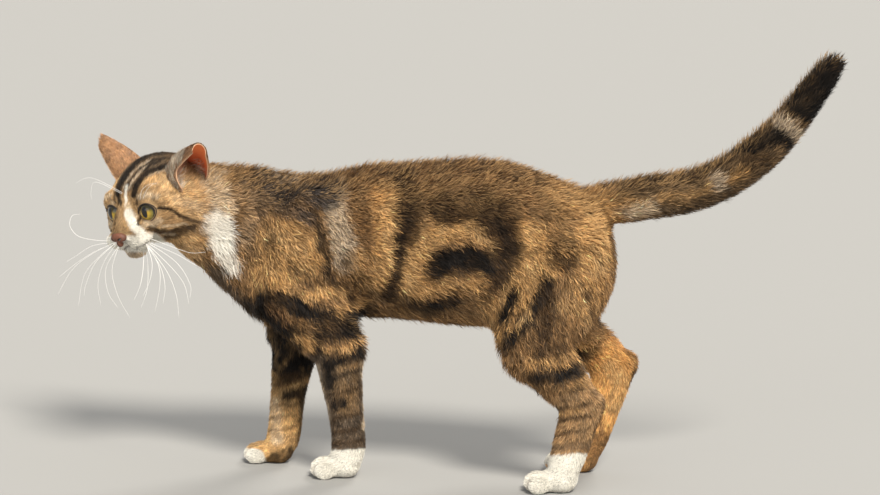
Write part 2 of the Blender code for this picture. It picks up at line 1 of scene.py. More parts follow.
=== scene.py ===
"""The looks of a standing short-haired tabby cat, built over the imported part.

One skin replaces the flesh and lies inside it by the coat's depth. Tufts of hair grow on that skin and
reach out to the part's outline. Eyes, lid rims, nose, ears and whiskers are pieces of their own.

Places are in millimetres as they were modelled, before the part's origin moved to the middle of its box.
The cat faces -X, its left side is -Y and +Z is up.
A stroke of a marking is a path in the photograph's pixels.
"""

import itertools
import math

import bmesh
import bpy
import numpy as np
from mathutils import Matrix, Vector
from mathutils.bvhtree import BVHTree

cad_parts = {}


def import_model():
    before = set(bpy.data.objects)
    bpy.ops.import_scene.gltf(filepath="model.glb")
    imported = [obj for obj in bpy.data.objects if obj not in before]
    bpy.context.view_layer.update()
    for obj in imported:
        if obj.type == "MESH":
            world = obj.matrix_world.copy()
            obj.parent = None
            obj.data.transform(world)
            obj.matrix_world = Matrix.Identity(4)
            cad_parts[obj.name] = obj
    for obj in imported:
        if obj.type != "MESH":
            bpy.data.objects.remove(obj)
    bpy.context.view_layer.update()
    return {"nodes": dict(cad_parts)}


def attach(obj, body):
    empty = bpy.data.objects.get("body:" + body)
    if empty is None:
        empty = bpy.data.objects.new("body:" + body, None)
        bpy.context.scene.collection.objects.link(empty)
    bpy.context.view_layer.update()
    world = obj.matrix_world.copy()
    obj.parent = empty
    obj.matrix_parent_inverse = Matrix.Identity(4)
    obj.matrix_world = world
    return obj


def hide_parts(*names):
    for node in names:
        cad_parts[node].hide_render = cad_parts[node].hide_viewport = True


MM = 0.001
BODY = "root"

# Where the part's origin stands in the modelled millimetres
ORIGIN = np.array((10.9, -17.9, 0.0))

# The camera that matches the photograph's view, which is 880 by 495 pixels
PIXELS = (880, 495)
TARGET = np.array((0.0, 0.0, 200.5))
DISTANCE, TURN, RISE, ROLL = 3000.0, 6.0, 10.0, 1.2
MM_PER_PIXEL = 0.86
SENSOR = 36.0

# The head's own axes: forward, left and up, from the point midway between the eyeballs' centres
HEAD_PLACE = (-257.5, -42.0, 230.0)
HEAD_YAW, HEAD_PITCH, HEAD_ROLL = -121.0, 18.0, 9.0
EYE_RADIUS, EYE_SPREAD, EYE_TURN, EYE_LIFT = 10.5, 18.9, 10.0, 4.0
LID_THICKNESS = 1.5
EYE_OPENING, EYE_TILT = (9.2, 7.7), 12.0
NOSE_PLACE, NOSE_HOLLOW = (29.5, 0, -12.5), (5.2, 6.6, 4.8)
EAR_HEIGHT, EAR_BASE_RADIUS, EAR_TIP_RADIUS, EAR_WALL = 50.0, 17.7, 7.0, 1.4
EAR_BASE_SPREAD, EAR_TIP_SPREAD, EAR_DROP = 137.0, 117.0, 4.4
EAR_ROOT = (-37, 29.9, 10.8)
EAR_POSE = {"left": (53, -9.6, 80), "right": (33, -1.7, 37)}
EAR_DEPTH = -0.25
EAR_TRIM = {"left": 0.36, "right": 0.0}

# How far across the face, in millimetres, the photograph shows its far side; the markings beyond mirror
# the near side
FACE_SEEN = 21.0

# Which way each side lies along Y; the near side is the cat's left
SIDES = {"left": -1, "right": 1}

# Paws: x and y of the middle, how many degrees the toes turn, and how far they reach ahead of the middle
PAWS = {
    "forepaw_left": (-84, -23, 8, 24),
    "forepaw_right": (-149, 21, -2, 24),
    "hind_paw_left": (104, -41, 6, 26),
    "hind_paw_right": (116, 38, -4, 26),
}
TOE_PITCH = 8.6
LEG_NODES = [(f"{leg}_{side}", f"{paw}_{side}")
             for leg, paw in (("foreleg", "forepaw"), ("hind_foot", "hind_paw")) for side in SIDES]

# Where all random draws begin
SEED = 7

# The nodes that the skin replaces, and all that it is built from
FLESH = ["torso", "neck", "head", "muzzle", "jaw", "tail_root", "tail_middle", "tail_tip", "thigh_left",
         "thigh_right", "foreleg_left", "foreleg_right", "hind_foot_left", "hind_foot_right", *PAWS]
SKINNED = [*FLESH, "nose"]

# The skin's mesh: how far nodes are swelled to meet, its fineness, and how often it is smoothed
SWELL = 0.30
SKIN_VOXEL, NOSE_VOXEL = 1.8, 0.32
SKIN_SMOOTHING, NOSE_SMOOTHING = 9, 8
BLEND_ROUNDS, GROUP_ROUNDS = 120, 30

# How deep the mouth's line, the clefts between toes and the nose's seat are pressed into the skin
LIP_DEPTH, CLEFT_DEPTH, NOSE_SEAT_DEPTH = 0.8, 3.0, 2.4

# The mouth's line in the head's axes: its height, and how far, where and how broadly it hangs down
LIP_HEIGHT, LIP_SAG, LIP_LANE, LIP_BREADTH = -23.6, 3.2, 7.5, 4.2

# Where that mesh is finer: forward of a place in the head's axes, below a height, and round the features
FINE_FACE, FINE_PAWS = -4, 30
FINEST_FACE, FINEST_BELOW, FINEST_ROUND_EYE = 14, 2, 12.5

# The lids: the gap to the eyeball, how much they thicken outwards, and how far the skin sinks inside them
LID_GAP, LID_ROLL, EYE_SINK = 0.35, 1.1, 2.2

# The iris from where its inner colour fades to where its outer one is full, its rim, and the pupil
IRIS, IRIS_RIM, PUPIL = (2.5, 6.6), (6.3, 7.3), (2.7, 4.9)

# The nose leather's forms, as places from the nose and radii, and its nostrils
NOSE_FORMS = [
    ((-0.3, 0, 0.6), (4.4, 7.2, 5.0)),
    ((-0.2, 0, -4.8), (3.2, 2.8, 3.8)),
    ((-0.8, -4.7, -0.2), (3.7, 3.5, 3.3)),
    ((-0.8, 4.7, -0.2), (3.7, 3.5, 3.3)),
]
NOSTRIL_OUT, NOSTRIL_DOWN, NOSTRIL_TILT, NOSTRIL_WIDTH, NOSTRIL_DEPTH = 3.7, 0.7, 0.5, 1.9, 1.4

# How near to the floor the skin and the hair may come, and how high up the soles are bare
LOWEST_SKIN, LOWEST_HAIR, BARE_SOLE = 0.4, 0.15, 0.9

# The coat by node: depth under the outline, tuft length and tuft width in millimetres, and tufts in a
# square millimetre
COAT = {
    "torso": (5.0, 11.5, 0.57, 1.03),
    "neck": (4.8, 11.5, 0.53, 1.17),
    "thigh": (4.4, 10.5, 0.53, 1.13),
    "tail": (4.6, 12.0, 0.53, 1.14),
    "foreleg": (2.6, 6.6, 0.41, 2.15),
    "hind_foot": (2.5, 6.4, 0.41, 2.15),
    "forepaw": (1.0, 2.4, 0.34, 3.2),
    "hind_paw": (1.0, 2.4, 0.34, 3.2),
    "head": (1.5, 4.6, 0.32, 3.45),
    "muzzle": (0.9, 2.6, 0.28, 4.6),
    "jaw": (1.2, 3.4, 0.30, 4.0),
    "nose": (1.0, 1.2, 0.20, 1.0),
}
CHEEK_COAT = (3.4, 8.0, 0.42, 2.4)
EYE_COAT_DEPTH = 0.3

# Extra depth and length of the coat on the chest and the belly
CHEST_EXTRA, BELLY_EXTRA = (1.6, 3.0), (1.4, 2.5)

# Where the coats of the cheeks, the chest and the belly set in, and where they are full
CHEEK_BACK, CHEEK_UP = (2, 38), (8, 26)
CHEST_FORWARD, CHEST_DOWN, BELLY_DOWN = (150, 178), (-215, -180), (-165, -145)

# The mean length of tufts from which a piece's tufts have a third step, and how often a limb's tufts have
# dark or fair tips
LONG_TUFT = 9.0
LIMB_HAIR = {"ticking": 0.45, "fairness": 0.30}

# Tufts: how deep their roots lie in the skin, their width at each step from the root by the number of steps,
# how many stand up on upward skin, what a warmer tuft has more of, and how light a coat counts as white
ROOT_DEPTH = 0.25
TAPER = {3: (0.85, 1.0, 0.75, 0.0), 2: (0.9, 0.95, 0.0)}
RAISED_SHARE = 0.42
WARMER = (0.6, 0.0, -1.0)
PALE_FROM, PALE_TO = 0.52, 0.68

# The least and most that a tuft's length, width and height differ, also of a loose and of a raised one
LENGTH_SPREAD, WIDTH_SPREAD, REACH_SPREAD = (0.70, 1.20), (0.70, 1.30), (0.70, 1.14)
LOOSE_SPREAD, RAISED_SPREAD = (1.15, 1.6), (0.4, 1.4)

# How dark the skin is under the coat, the most triangles in a piece of it, and the size of a tuft's square in
# the OFBake map and the map's margin
SKIN_SHADE = 0.55
MOST_TRIANGLES = 190000
PATCH, PATCH_MARGIN = 0.003, 0.002

# Groups of nodes that are unrolled round an axis: its start and end, and the curl of the tufts
LONG_GROUPS = {
    "neck": ((-170, -2, 212), (-230, -14, 226), 0.4),
    "torso": ((-190, 0, 205), (160, 0, 205), 0.8),
    "tail": ((130, 0, 225), (350, 0, 345), 0.6),
    "thigh_left": ((110, -45, 230), (110, -45, 90), 0.8),
    "thigh_right": ((110, 45, 230), (115, 45, 90), 0.8),
    "foreleg_left": ((-84, -36, 125), (-73, -24, 30), 0.4),
    "foreleg_right": ((-127, 33, 125), (-136, 22, 30), 0.4),
    "hind_foot_left": ((125, -42, 110), (119, -41, 30), 0.4),
    "hind_foot_right": ((148, 38, 120), (133, 38, 30), 0.4),
}

# The groups that are unfolded round a point, which lies at a height in each paw
HEAD_GROUP, HEAD_CENTRE, HEAD_CURL = ("head", "muzzle", "jaw"), (-18.0, 0, 0), 0.25
PAW_CENTRE_HEIGHT, PAW_CURL = 12, 0.15

# Hair of an ear: count, lowest and highest place up the ear, nearest and farthest lane from the middle, which
# side of the wall, depth, length, width, colour and share of dark tips
EAR_HAIR = {
    "back": (9000, 0.0, 0.99, 0.0, 0.97, 0.5, 0.8, 3.6, 0.30, (0.44, 0.235, 0.11), 0.30),
    "rim": (1500, 0.0, 1.0, 0.95, 1.0, 0.0, 0.8, 2.6, 0.22, (0.76, 0.54, 0.36), 0.0),
    "tufts": (1500, 0.0, 0.72, 0.25, 0.97, 0.5, 1.6, 6.5, 0.26, (0.66, 0.56, 0.43), 0.25),
    "lining": (520, -0.02, 0.45, 0.50, 0.97, -0.5, 4.2, 10.0, 0.26, (0.74, 0.64, 0.50), 0.2),
}
EAR_CURL = 0.6

# Linear colours of the coat and of the bare parts
COLOURS = {
    "ground": (0.30, 0.168, 0.070),
    "tan": (0.55, 0.315, 0.122),
    "gold": (0.68, 0.41, 0.17),
    "orange": (0.80, 0.42, 0.14),
    "rust": (0.41, 0.255, 0.12),
    "brown": (0.18, 0.095, 0.040),
    "umber": (0.060, 0.032, 0.013),
    "black": (0.009, 0.006, 0.004),
    "charcoal": (0.072, 0.056, 0.046),
    "grey": (0.40, 0.285, 0.175),
    "ash": (0.60, 0.47, 0.33),
    "ticked": (0.62, 0.395, 0.19),
    "cream": (0.74, 0.57, 0.38),
    "white": (0.93, 0.89, 0.79),
    "shank": (0.42, 0.25, 0.115),
    "slate": (0.125, 0.085, 0.052),
    "sable": (0.165, 0.102, 0.050),
    # A darker copy of tan, laid on trunk fur that faces down: painted shade under the body
    "belly": (0.385, 0.2205, 0.0854),
    # Near black on the skin in the nose's seat: painted shade round and under the nose leather
    "hollow": (0.030, 0.016, 0.012),
    # The lips' own dark edge, with painted shade in the mouth's line and in the groove under the nose
    "lips": (0.07, 0.035, 0.028),
    # Painted shade in the clefts between the toes
    "clefts": (0.22, 0.15, 0.11),
    "nose": (0.17, 0.066, 0.038),
    "nose_edge": (0.12, 0.06, 0.045),
    # Painted shade inside the nostrils and in the groove between them
    "nostril": (0.02, 0.010, 0.008),
    # The inside of the ear: its own bare skin, brightened as painted light shining through it
    "ear_tip": (1.0, 0.33, 0.12),
    "ear_low": (0.92, 0.22, 0.09),
    "ear_back": (0.46, 0.24, 0.12),
    "ear_rim": (0.72, 0.50, 0.32),
    "iris_inside": (0.48, 0.30, 0.03),
    "iris_outside": (0.19, 0.155, 0.028),
    "iris_glow": (0.34, 0.22, 0.02),
    "iris_rim": (0.012, 0.010, 0.008),
    "pupil": (0.004, 0.004, 0.004),
    "lid": (0.018, 0.014, 0.012),
    "whisker": (0.88, 0.86, 0.82),
}

# Marks in these colours aren't thinned by the mottle
UNBROKEN = ("white", "cream", "ash")

# The stripe along the back and the one beside it: how far off the midline, how broad and how strong
BACK_STRIPE, SIDE_STRIPE = (0, 5.5, 1.0), (19, 4.0, 0.6)

# Markings: colour, width, softness, strength, then the path in the photograph's pixels
TRUNK_MARKS = [
    ("brown", 36, 16, 0.62, (330, 176), (400, 166), (470, 164), (540, 180)),
    ("ground", 30, 12, 0.60, (215, 176), (245, 186), (262, 200)),
    ("grey", 16, 10, 0.45, (240, 190), (246, 214), (238, 236)),
    ("tan", 50, 16, 0.90, (276, 238), (292, 252), (272, 270)),
    ("gold", 16, 9, 0.60, (270, 232), (290, 244), (296, 262)),
    ("gold", 9, 6, 0.50, (262, 262), (280, 274), (290, 280)),
    ("ash", 21, 8, 0.90, (328, 190), (334, 222), (340, 256)),
    ("brown", 14, 8, 0.60, (352, 190), (356, 226), (362, 262)),
    ("tan", 24, 8, 0.95, (377, 190), (381, 226), (376, 272)),
    ("gold", 10, 5, 0.70, (382, 200), (385, 232), (377, 262)),
    ("tan", 22, 10, 0.60, (350, 258), (364, 284)),
    ("brown", 30, 14, 0.65, (430, 176), (480, 180), (520, 196)),
    ("tan", 56, 18, 0.90, (568, 200), (594, 232)),
    ("tan", 44, 18, 0.55, (594, 240), (588, 282)),
    ("gold", 18, 10, 0.60, (586, 208), (600, 236), (596, 264)),
    ("tan", 38, 12, 1.0, (524, 236), (534, 266), (514, 286)),
    ("gold", 12, 7, 0.55, (522, 226), (530, 250), (526, 268)),
    ("brown", 20, 9, 0.60, (524, 198), (540, 206), (566, 214)),
    ("tan", 26, 9, 0.95, (404, 297), (405, 266), (417, 240), (440, 226), (468, 224)),
    ("gold", 10, 5, 0.75, (402, 284), (407, 256), (420, 237), (440, 227), (462, 226)),
    ("tan", 15, 7, 0.80, (414, 290), (440, 285), (472, 280)),
    ("gold", 9, 5, 0.65, (472, 230), (484, 242), (487, 258)),
    ("tan", 22, 9, 0.80, (480, 300), (498, 316), (490, 330)),
    ("gold", 10, 6, 0.60, (560, 300), (584, 306), (592, 322)),
    ("ground", 34, 12, 0.60, (566, 320), (590, 336)),
    ("umber", 26, 12, 0.70, (548, 322), (556, 346)),
    ("charcoal", 30, 9, 0.92, (262, 176), (288, 182), (322, 190)),
    ("grey", 7, 5, 0.60, (268, 170), (292, 178), (304, 188)),
    ("charcoal", 17, 7, 0.85, (262, 196), (288, 206), (302, 212)),
    ("charcoal", 12, 6, 0.60, (240, 182), (252, 196), (256, 208)),
    ("umber", 9, 6, 0.70, (262, 218), (270, 232), (264, 246)),
    ("umber", 9, 6, 0.65, (286, 262), (300, 270), (306, 282)),
    ("black", 9, 5, 0.75, (309, 204), (315, 234), (325, 270), (346, 297)),
    ("umber", 13, 7, 0.60, (338, 254), (350, 280), (364, 296)),
    ("umber", 27, 9, 0.97, (399, 182), (402, 206), (402, 232)),
    ("umber", 13, 7, 0.85, (398, 204), (397, 240), (390, 272), (382, 297)),
    ("black", 9, 6, 0.70, (402, 204), (396, 240), (389, 272), (382, 295)),
    ("umber", 34, 10, 0.92, (438, 208), (474, 204), (496, 216)),
    ("umber", 28, 9, 0.92, (486, 214), (502, 232), (503, 250), (494, 270)),
    ("black", 13, 8, 0.70, (488, 216), (504, 236), (502, 254)),
    ("umber", 12, 6, 0.80, (492, 268), (484, 284), (478, 296)),
    ("umber", 28, 8, 0.85, (428, 268), (448, 256), (474, 256)),
    ("black", 20, 6, 1.0, (430, 268), (446, 256), (466, 253), (478, 262)),
    ("black", 14, 6, 0.95, (408, 305), (430, 308), (446, 300)),
    ("umber", 12, 7, 0.80, (382, 282), (388, 298), (404, 304)),
    ("umber", 15, 7, 0.68, (549, 249), (556, 238), (568, 241), (571, 253), (561, 261), (550, 256)),
    ("tan", 8, 4, 0.90, (559, 249), (560, 250)),
    # Painted shade in a fold of the thigh
    ("black", 14, 6, 1.0, (545, 278), (536, 298), (518, 320), (502, 342)),
    ("gold", 6, 3, 0.70, (530, 304), (514, 322)),
    # Painted shade in a fold of the thigh
    ("black", 11, 5, 0.95, (513, 288), (498, 312)),
    ("umber", 14, 8, 0.80, (548, 286), (540, 316), (536, 346)),
    ("umber", 10, 7, 0.30, (532, 252), (537, 282)),
    ("umber", 10, 6, 0.60, (585, 290), (598, 312)),
    ("umber", 14, 7, 0.55, (580, 332), (600, 336)),
    ("black", 15, 5, 1.0, (531, 374), (556, 368), (586, 362)),
    ("tan", 9, 4, 0.75, (522, 358), (548, 356), (580, 350)),
    ("black", 42, 8, 1.0, (250, 314), (280, 338), (304, 358)),
    ("black", 15, 5, 1.0, (258, 292), (292, 302), (326, 312), (356, 312)),
    ("black", 22, 7, 0.85, (320, 322), (344, 318), (360, 314)),
    ("tan", 12, 5, 0.90, (302, 292), (318, 287), (334, 290)),
    ("gold", 6, 3, 0.80, (306, 291), (320, 287)),
    ("tan", 10, 5, 0.85, (290, 332), (304, 340), (300, 350)),
    ("brown", 10, 6, 0.80, (262, 306), (282, 314)),
    ("black", 13, 5, 0.97, (312, 331), (335, 328), (357, 324)),
    ("tan", 8, 4, 0.80, (318, 345), (342, 341), (360, 336)),
    ("tan", 7, 4, 0.70, (330, 306), (346, 303), (358, 304)),
    ("black", 17, 5, 0.97, (320, 360), (340, 356), (360, 350)),
    ("cream", 26, 9, 0.85, (210, 182), (216, 202)),
    # The white patch on the neck, in two strokes at less than full strength: white fur with painted shade
    ("white", 26, 6, 0.85, (212, 222), (218, 238)),
    ("white", 19, 6, 0.85, (218, 240), (226, 262)),
    ("slate", 24, 10, 0.92, (206, 272), (222, 290), (240, 308)),
    ("black", 18, 8, 0.70, (240, 300), (252, 316)),
]
TAIL_MARKS = [
    ("tan", 20, 8, 0.90, (582, 196), (606, 204), (630, 206)),
    ("cream", 13, 6, 0.95, (604, 213), (622, 216), (642, 211)),
    ("umber", 13, 6, 0.75, (606, 186), (642, 182), (690, 172), (730, 156)),
    ("tan", 10, 6, 0.60, (650, 202), (690, 196), (740, 178)),
    ("ash", 13, 6, 0.80, (710, 178), (715, 190)),
    ("black", 16, 5, 0.95, (730, 150), (750, 148), (772, 138), (782, 150)),
    ("umber", 12, 6, 0.70, (738, 168), (760, 160)),
    ("black", 44, 5, 1.0, (806, 104), (820, 88), (836, 66), (842, 52)),
    ("ash", 15, 3, 1.0, (776, 122), (786, 133), (797, 145)),
    ("umber", 6, 3, 0.30, (808, 88), (826, 70)),
]
NEAR_FORELEG_MARKS = [
    ("tan", 26, 10, 0.28, (344, 330), (346, 400)),
    ("black", 13, 4, 0.97, (312, 331), (335, 328), (357, 324)),
    ("gold", 7, 4, 0.60, (318, 345), (342, 341), (362, 336)),
    ("black", 11, 3, 1.0, (326, 360), (342, 354), (358, 349)),
    ("black", 12, 4, 1.0, (330, 360), (330, 380)),
    ("black", 5, 3, 0.85, (334, 374), (348, 370), (360, 366)),
    ("tan", 5, 3, 0.60, (342, 364), (360, 359)),
    ("umber", 4, 2.5, 0.85, (328, 391), (346, 387), (362, 382)),
    ("black", 11, 4, 0.97, (334, 403), (342, 399)),
    ("umber", 4, 2.5, 0.80, (332, 416), (348, 413), (362, 408)),
    ("umber", 4, 2.5, 0.85, (333, 430), (350, 427), (364, 421)),
    ("umber", 4, 2.5, 0.75, (334, 443), (364, 437)),
    ("ash", 4, 3, 0.70, (316, 362), (322, 396), (330, 438)),
    ("cream", 4, 3, 0.90, (364.5, 356), (365.5, 390), (365, 424)),
    ("white", 36, 3, 1.0, (302, 470), (334, 467), (372, 463)),
]
FAR_FORELEG_MARKS = [
    ("black", 40, 7, 0.98, (262, 338), (290, 356), (312, 352)),
    ("umber", 12, 5, 0.85, (272, 378), (300, 372)),
    ("black", 12, 5, 0.85, (288, 391), (309, 386)),
    ("umber", 10, 5, 0.85, (306, 392), (303, 448)),
    # Painted light on the lit front of the far foreleg
    ("cream", 12, 6, 0.65, (275, 398), (278, 438)),
    ("umber", 3, 2, 0.55, (268, 404), (298, 400)),
    ("umber", 3, 2, 0.55, (268, 416), (296, 412)),
    ("umber", 3, 2, 0.55, (268, 428), (296, 424)),
    ("umber", 20, 5, 0.80, (288, 456), (276, 464)),
    ("white", 24, 3, 1.0, (242, 458), (256, 461)),
]
NEAR_HIND_MARKS = [
    ("tan", 14, 6, 0.60, (560, 382), (584, 378)),
    ("black", 9, 4, 0.95, (538, 374), (560, 368), (590, 358)),
    ("umber", 4, 2.5, 0.90, (545, 391), (580, 384)),
    ("umber", 4, 2.5, 0.85, (552, 407), (590, 400)),
    ("umber", 3.5, 2.5, 0.85, (556, 419), (590, 412)),
    ("umber", 3.5, 2.5, 0.80, (556, 431), (590, 425)),
    ("tan", 6, 3, 0.60, (552, 413), (578, 407)),
    ("umber", 9, 5, 0.85, (610, 380), (604, 420), (592, 452)),
    ("slate", 9, 4, 0.50, (556, 444), (590, 442)),
    ("white", 46, 3, 1.0, (516, 478), (552, 476), (586, 474)),
]
FAR_HIND_MARKS = [
    ("gold", 18, 6, 0.80, (608, 364), (622, 380), (618, 404)),
    ("umber", 5, 3, 0.90, (637, 362), (634, 388), (622, 418), (606, 444)),
    # Painted shade between the near and the far hind leg
    ("brown", 6, 4, 0.60, (600, 396), (602, 430)),
    ("umber", 6, 4, 0.60, (626, 350), (636, 358)),
    # Painted shade on the lower part of the far hind foot
    ("brown", 20, 6, 0.75, (600, 440), (592, 466)),
    ("white", 22, 3, 1.0, (530, 450), (562, 456)),
]
HEAD_MARKS = [
    ("shank", 27, 8, 0.92, (125, 186), (131, 172), (142, 166), (158, 163)),
    ("slate", 22, 8, 0.88, (127, 182), (134, 170), (148, 162), (170, 158)),
    ("sable", 16, 9, 0.55, (176, 163), (204, 172)),
    ("gold", 16, 8, 0.50, (176, 236), (200, 238)),
    ("brown", 14, 8, 0.45, (168, 222), (196, 226)),
    ("cream", 10, 6, 0.40, (176, 202), (200, 206)),
    ("black", 6, 2.5, 0.92, (136, 160), (150, 154), (170, 151), (190, 155)),
    ("black", 3.4, 2, 0.85, (138, 169), (150, 161), (164, 158), (180, 160)),
    ("umber", 14, 7, 0.60, (172, 158), (196, 166)),
    ("black", 5.2, 2.2, 0.93, (116.8, 196), (117.2, 188), (121.5, 180), (127.5, 171.5), (133, 164.5),
     (140, 159)),
    ("ash", 1.8, 1.2, 0.70, (121.8, 190), (124.6, 182.5), (130.6, 174.5), (137.4, 167.2), (147, 161)),
    ("black", 2.6, 1.5, 0.85, (124.6, 192), (127.2, 184.5), (133.4, 176.5), (140.4, 170)),
    ("black", 3.2, 2, 0.88, (117.6, 195), (119.8, 206)),
    ("ash", 2.6, 1.8, 0.70, (127.4, 192), (130.6, 183), (137.5, 175), (144.5, 168)),
    ("black", 5.4, 2.0, 0.95, (132.8, 198), (134.5, 188), (141, 179), (149, 173), (158, 169.5), (168, 165)),
    ("black", 3.2, 1.8, 0.85, (142, 173), (149, 166), (158, 162)),
    ("ash", 1.8, 1.4, 0.60, (146, 178.5), (155, 174), (164, 171)),
    ("umber", 2.2, 1.2, 0.85, (136, 205), (136.8, 198)),
    ("umber", 2.4, 1.4, 0.75, (113, 194), (114, 204)),
    ("white", 3.0, 1.6, 0.92, (125, 188), (124.8, 198), (125.4, 206)),
    ("cream", 6, 3, 0.75, (127, 206), (129.5, 211)),
    ("white", 9, 3, 1.0, (128.5, 214), (131.5, 221), (133.5, 228), (140, 233)),
    ("rust", 9, 3.5, 0.85, (120, 212), (119.6, 222), (119.6, 232)),
    ("umber", 2.4, 1.6, 0.65, (114, 216), (113.6, 228)),
    ("umber", 2.4, 1.4, 0.90, (137.2, 225), (138.4, 218), (140.4, 214)),
    ("cream", 5, 2.5, 0.85, (143, 226), (151, 226.4), (159, 221)),
    ("cream", 5, 3, 0.70, (138, 198.5), (146, 196), (155, 198)),
    ("cream", 4, 2.5, 0.60, (103, 203), (106, 200), (112, 204)),
    ("umber", 3.6, 1.8, 0.95, (159, 208.5), (170, 211.5), (180, 217), (190, 220), (205, 222)),
    ("black", 1.8, 1.2, 0.70, (159, 208.5), (169, 211.5), (178, 216)),
    ("umber", 5.2, 2.4, 0.92, (148, 229), (158, 232), (168, 232), (178, 230.5), (192, 225)),
    ("cream", 2.4, 1.6, 0.75, (160, 226.5), (172, 226), (184, 224)),
    ("umber", 3.4, 2, 0.80, (162, 237.5), (174, 236), (184, 232)),
    ("cream", 2.0, 1.4, 0.60, (160, 234.8), (172, 234.6)),
    ("white", 17, 3.5, 1.0, (108, 244), (126, 244), (140, 244), (152, 244)),
    ("white", 10, 4, 0.95, (140, 236), (150, 238), (158, 243)),
    ("ash", 14, 4, 0.90, (118, 258), (130, 259), (150, 260)),
    ("cream", 16, 6, 0.90, (206, 184), (212, 206)),
    ("white", 18, 6, 0.95, (214, 216), (222, 240)),
]

# Groups of nodes with one ground colour, which view their marks are laid from, and the marks
GROUPS = {
    "trunk": ("ground", "side", TRUNK_MARKS),
    "tail": ("sable", "side", TAIL_MARKS),
    "head": ("ticked", "face", HEAD_MARKS),
    "near_fore": ("slate", "own", NEAR_FORELEG_MARKS),
    # The far foreleg's ground: its own golden fur, made lighter as painted light
    "far_fore": ("gold", "own", FAR_FORELEG_MARKS),
    "near_hind": ("shank", "own", NEAR_HIND_MARKS),
    "far_hind": ("orange", "own", FAR_HIND_MARKS),
}

# The lie of the coat: a place and the way the hair points there; a place off the midline is repeated on
# the other side. Along the limbs and the tail it runs from place to place, and the head's is in its own axes
BODY_LIE = [
    ((-200, 0, 262), (1, 0, -0.05)),
    ((-200, 38, 225), (0.85, 0, -0.45)),
    ((-200, -8, 176), (0.55, 0, -0.80)),
    ((-176, 0, 150), (0.45, 0, -0.90)),
    ((-160, 34, 175), (0.40, 0, -0.90)),
    ((-150, 44, 205), (0.70, 0, -0.70)),
    ((-150, 0, 262), (1, 0, 0.02)),
    ((-110, 48, 215), (0.80, 0, -0.55)),
    ((-115, 46, 165), (0.30, 0, -0.95)),
    ((-100, 0, 268), (1, 0, 0.04)),
    ((-50, 52, 215), (0.92, 0, -0.35)),
    ((-50, 40, 160), (0.90, 0, -0.30)),
    ((-50, 0, 136), (1, 0, 0.05)),
    ((-40, 0, 275), (1, 0, 0.06)),
    ((10, 54, 215), (0.92, 0, -0.35)),
    ((10, 42, 160), (0.88, 0, -0.42)),
    ((10, 0, 136), (1, 0, 0.10)),
    ((20, 0, 279), (1, 0, 0.0)),
    ((60, 52, 215), (0.85, 0, -0.50)),
    ((60, 42, 165), (0.60, 0, -0.80)),
    ((70, 0, 268), (1, 0, -0.12)),
    ((110, 50, 215), (0.70, 0, -0.70)),
    ((105, 58, 170), (0.35, 0, -0.95)),
    ((120, 0, 258), (1, 0, -0.10)),
    ((146, 22, 200), (0.15, 0.1, -1)),
    ((150, 20, 160), (0.10, 0, -1)),
    ((72, 52, 150), (0.30, 0, -0.95)),
]
LIMB_LIE = [
    ((-146, -30, 160), (-84, -36, 122), (-76, -27, 60), (-73, -24, 30), (-84, -23, 12), (-104, -23, 6)),
    ((-146, 30, 160), (-127, 33, 118), (-134, 25, 60), (-136, 22, 30), (-149, 21, 12), (-168, 21, 6)),
    ((96, -50, 150), (110, -46, 105), (129, -42, 76), (119, -41, 36), (104, -41, 12), (80, -41, 6)),
    ((100, 46, 150), (128, 42, 112), (152, 38, 96), (133, 38, 34), (116, 38, 12), (92, 38, 6)),
    ((112, 0, 234), (160, 0, 247), (212, 0, 257), (240, 0, 269), (263, 0, 285), (283, 0, 304), (300, 0, 326),
     (314, 0, 347), (326, 0, 364), (336, 0, 378)),
]
HEAD_LIE = [
    ((26, 0, -6), (-0.6, 0, 0.8)),
    ((12, 0, 10), (-0.7, 0, 0.7)),
    ((-4, 0, 24), (-0.9, 0, 0.4)),
    ((-24, 0, 36), (-1, 0, 0)),
    ((-52, 0, 28), (-0.9, 0, -0.4)),
    ((20, 12, -10), (-0.6, 0.7, 0.1)),
    ((27, 8, -18), (-0.2, 0.85, -0.45)),
    ((22, 16, -20), (-0.5, 0.7, -0.4)),
    ((24, 6, -27), (-0.3, 0.3, -0.9)),
    ((22, 0, -34), (-0.5, 0, -0.85)),
    ((6, 16, -34), (-0.9, 0.15, -0.4)),
    ((8, 24, -14), (-0.75, 0.6, -0.3)),
    ((-4, 34, -12), (-0.95, 0.1, -0.35)),
    ((-30, 38, -14), (-0.85, 0, -0.55)),
    ((-12, 32, 12), (-0.9, 0.2, 0.3)),
    ((8, 18, 14), (-0.55, 0.15, 0.8)),
    ((-8, 22, 26), (-0.9, 0.15, 0.4)),
    ((2, 31, 2), (-0.9, 0.45, 0.1)),
    ((12, 10, -1), (-0.5, -0.1, 0.85)),
    ((-38, 34, 18), (-0.7, 0.2, 0.5)),
    ((-56, 26, 6), (-0.85, 0.1, -0.5)),
]

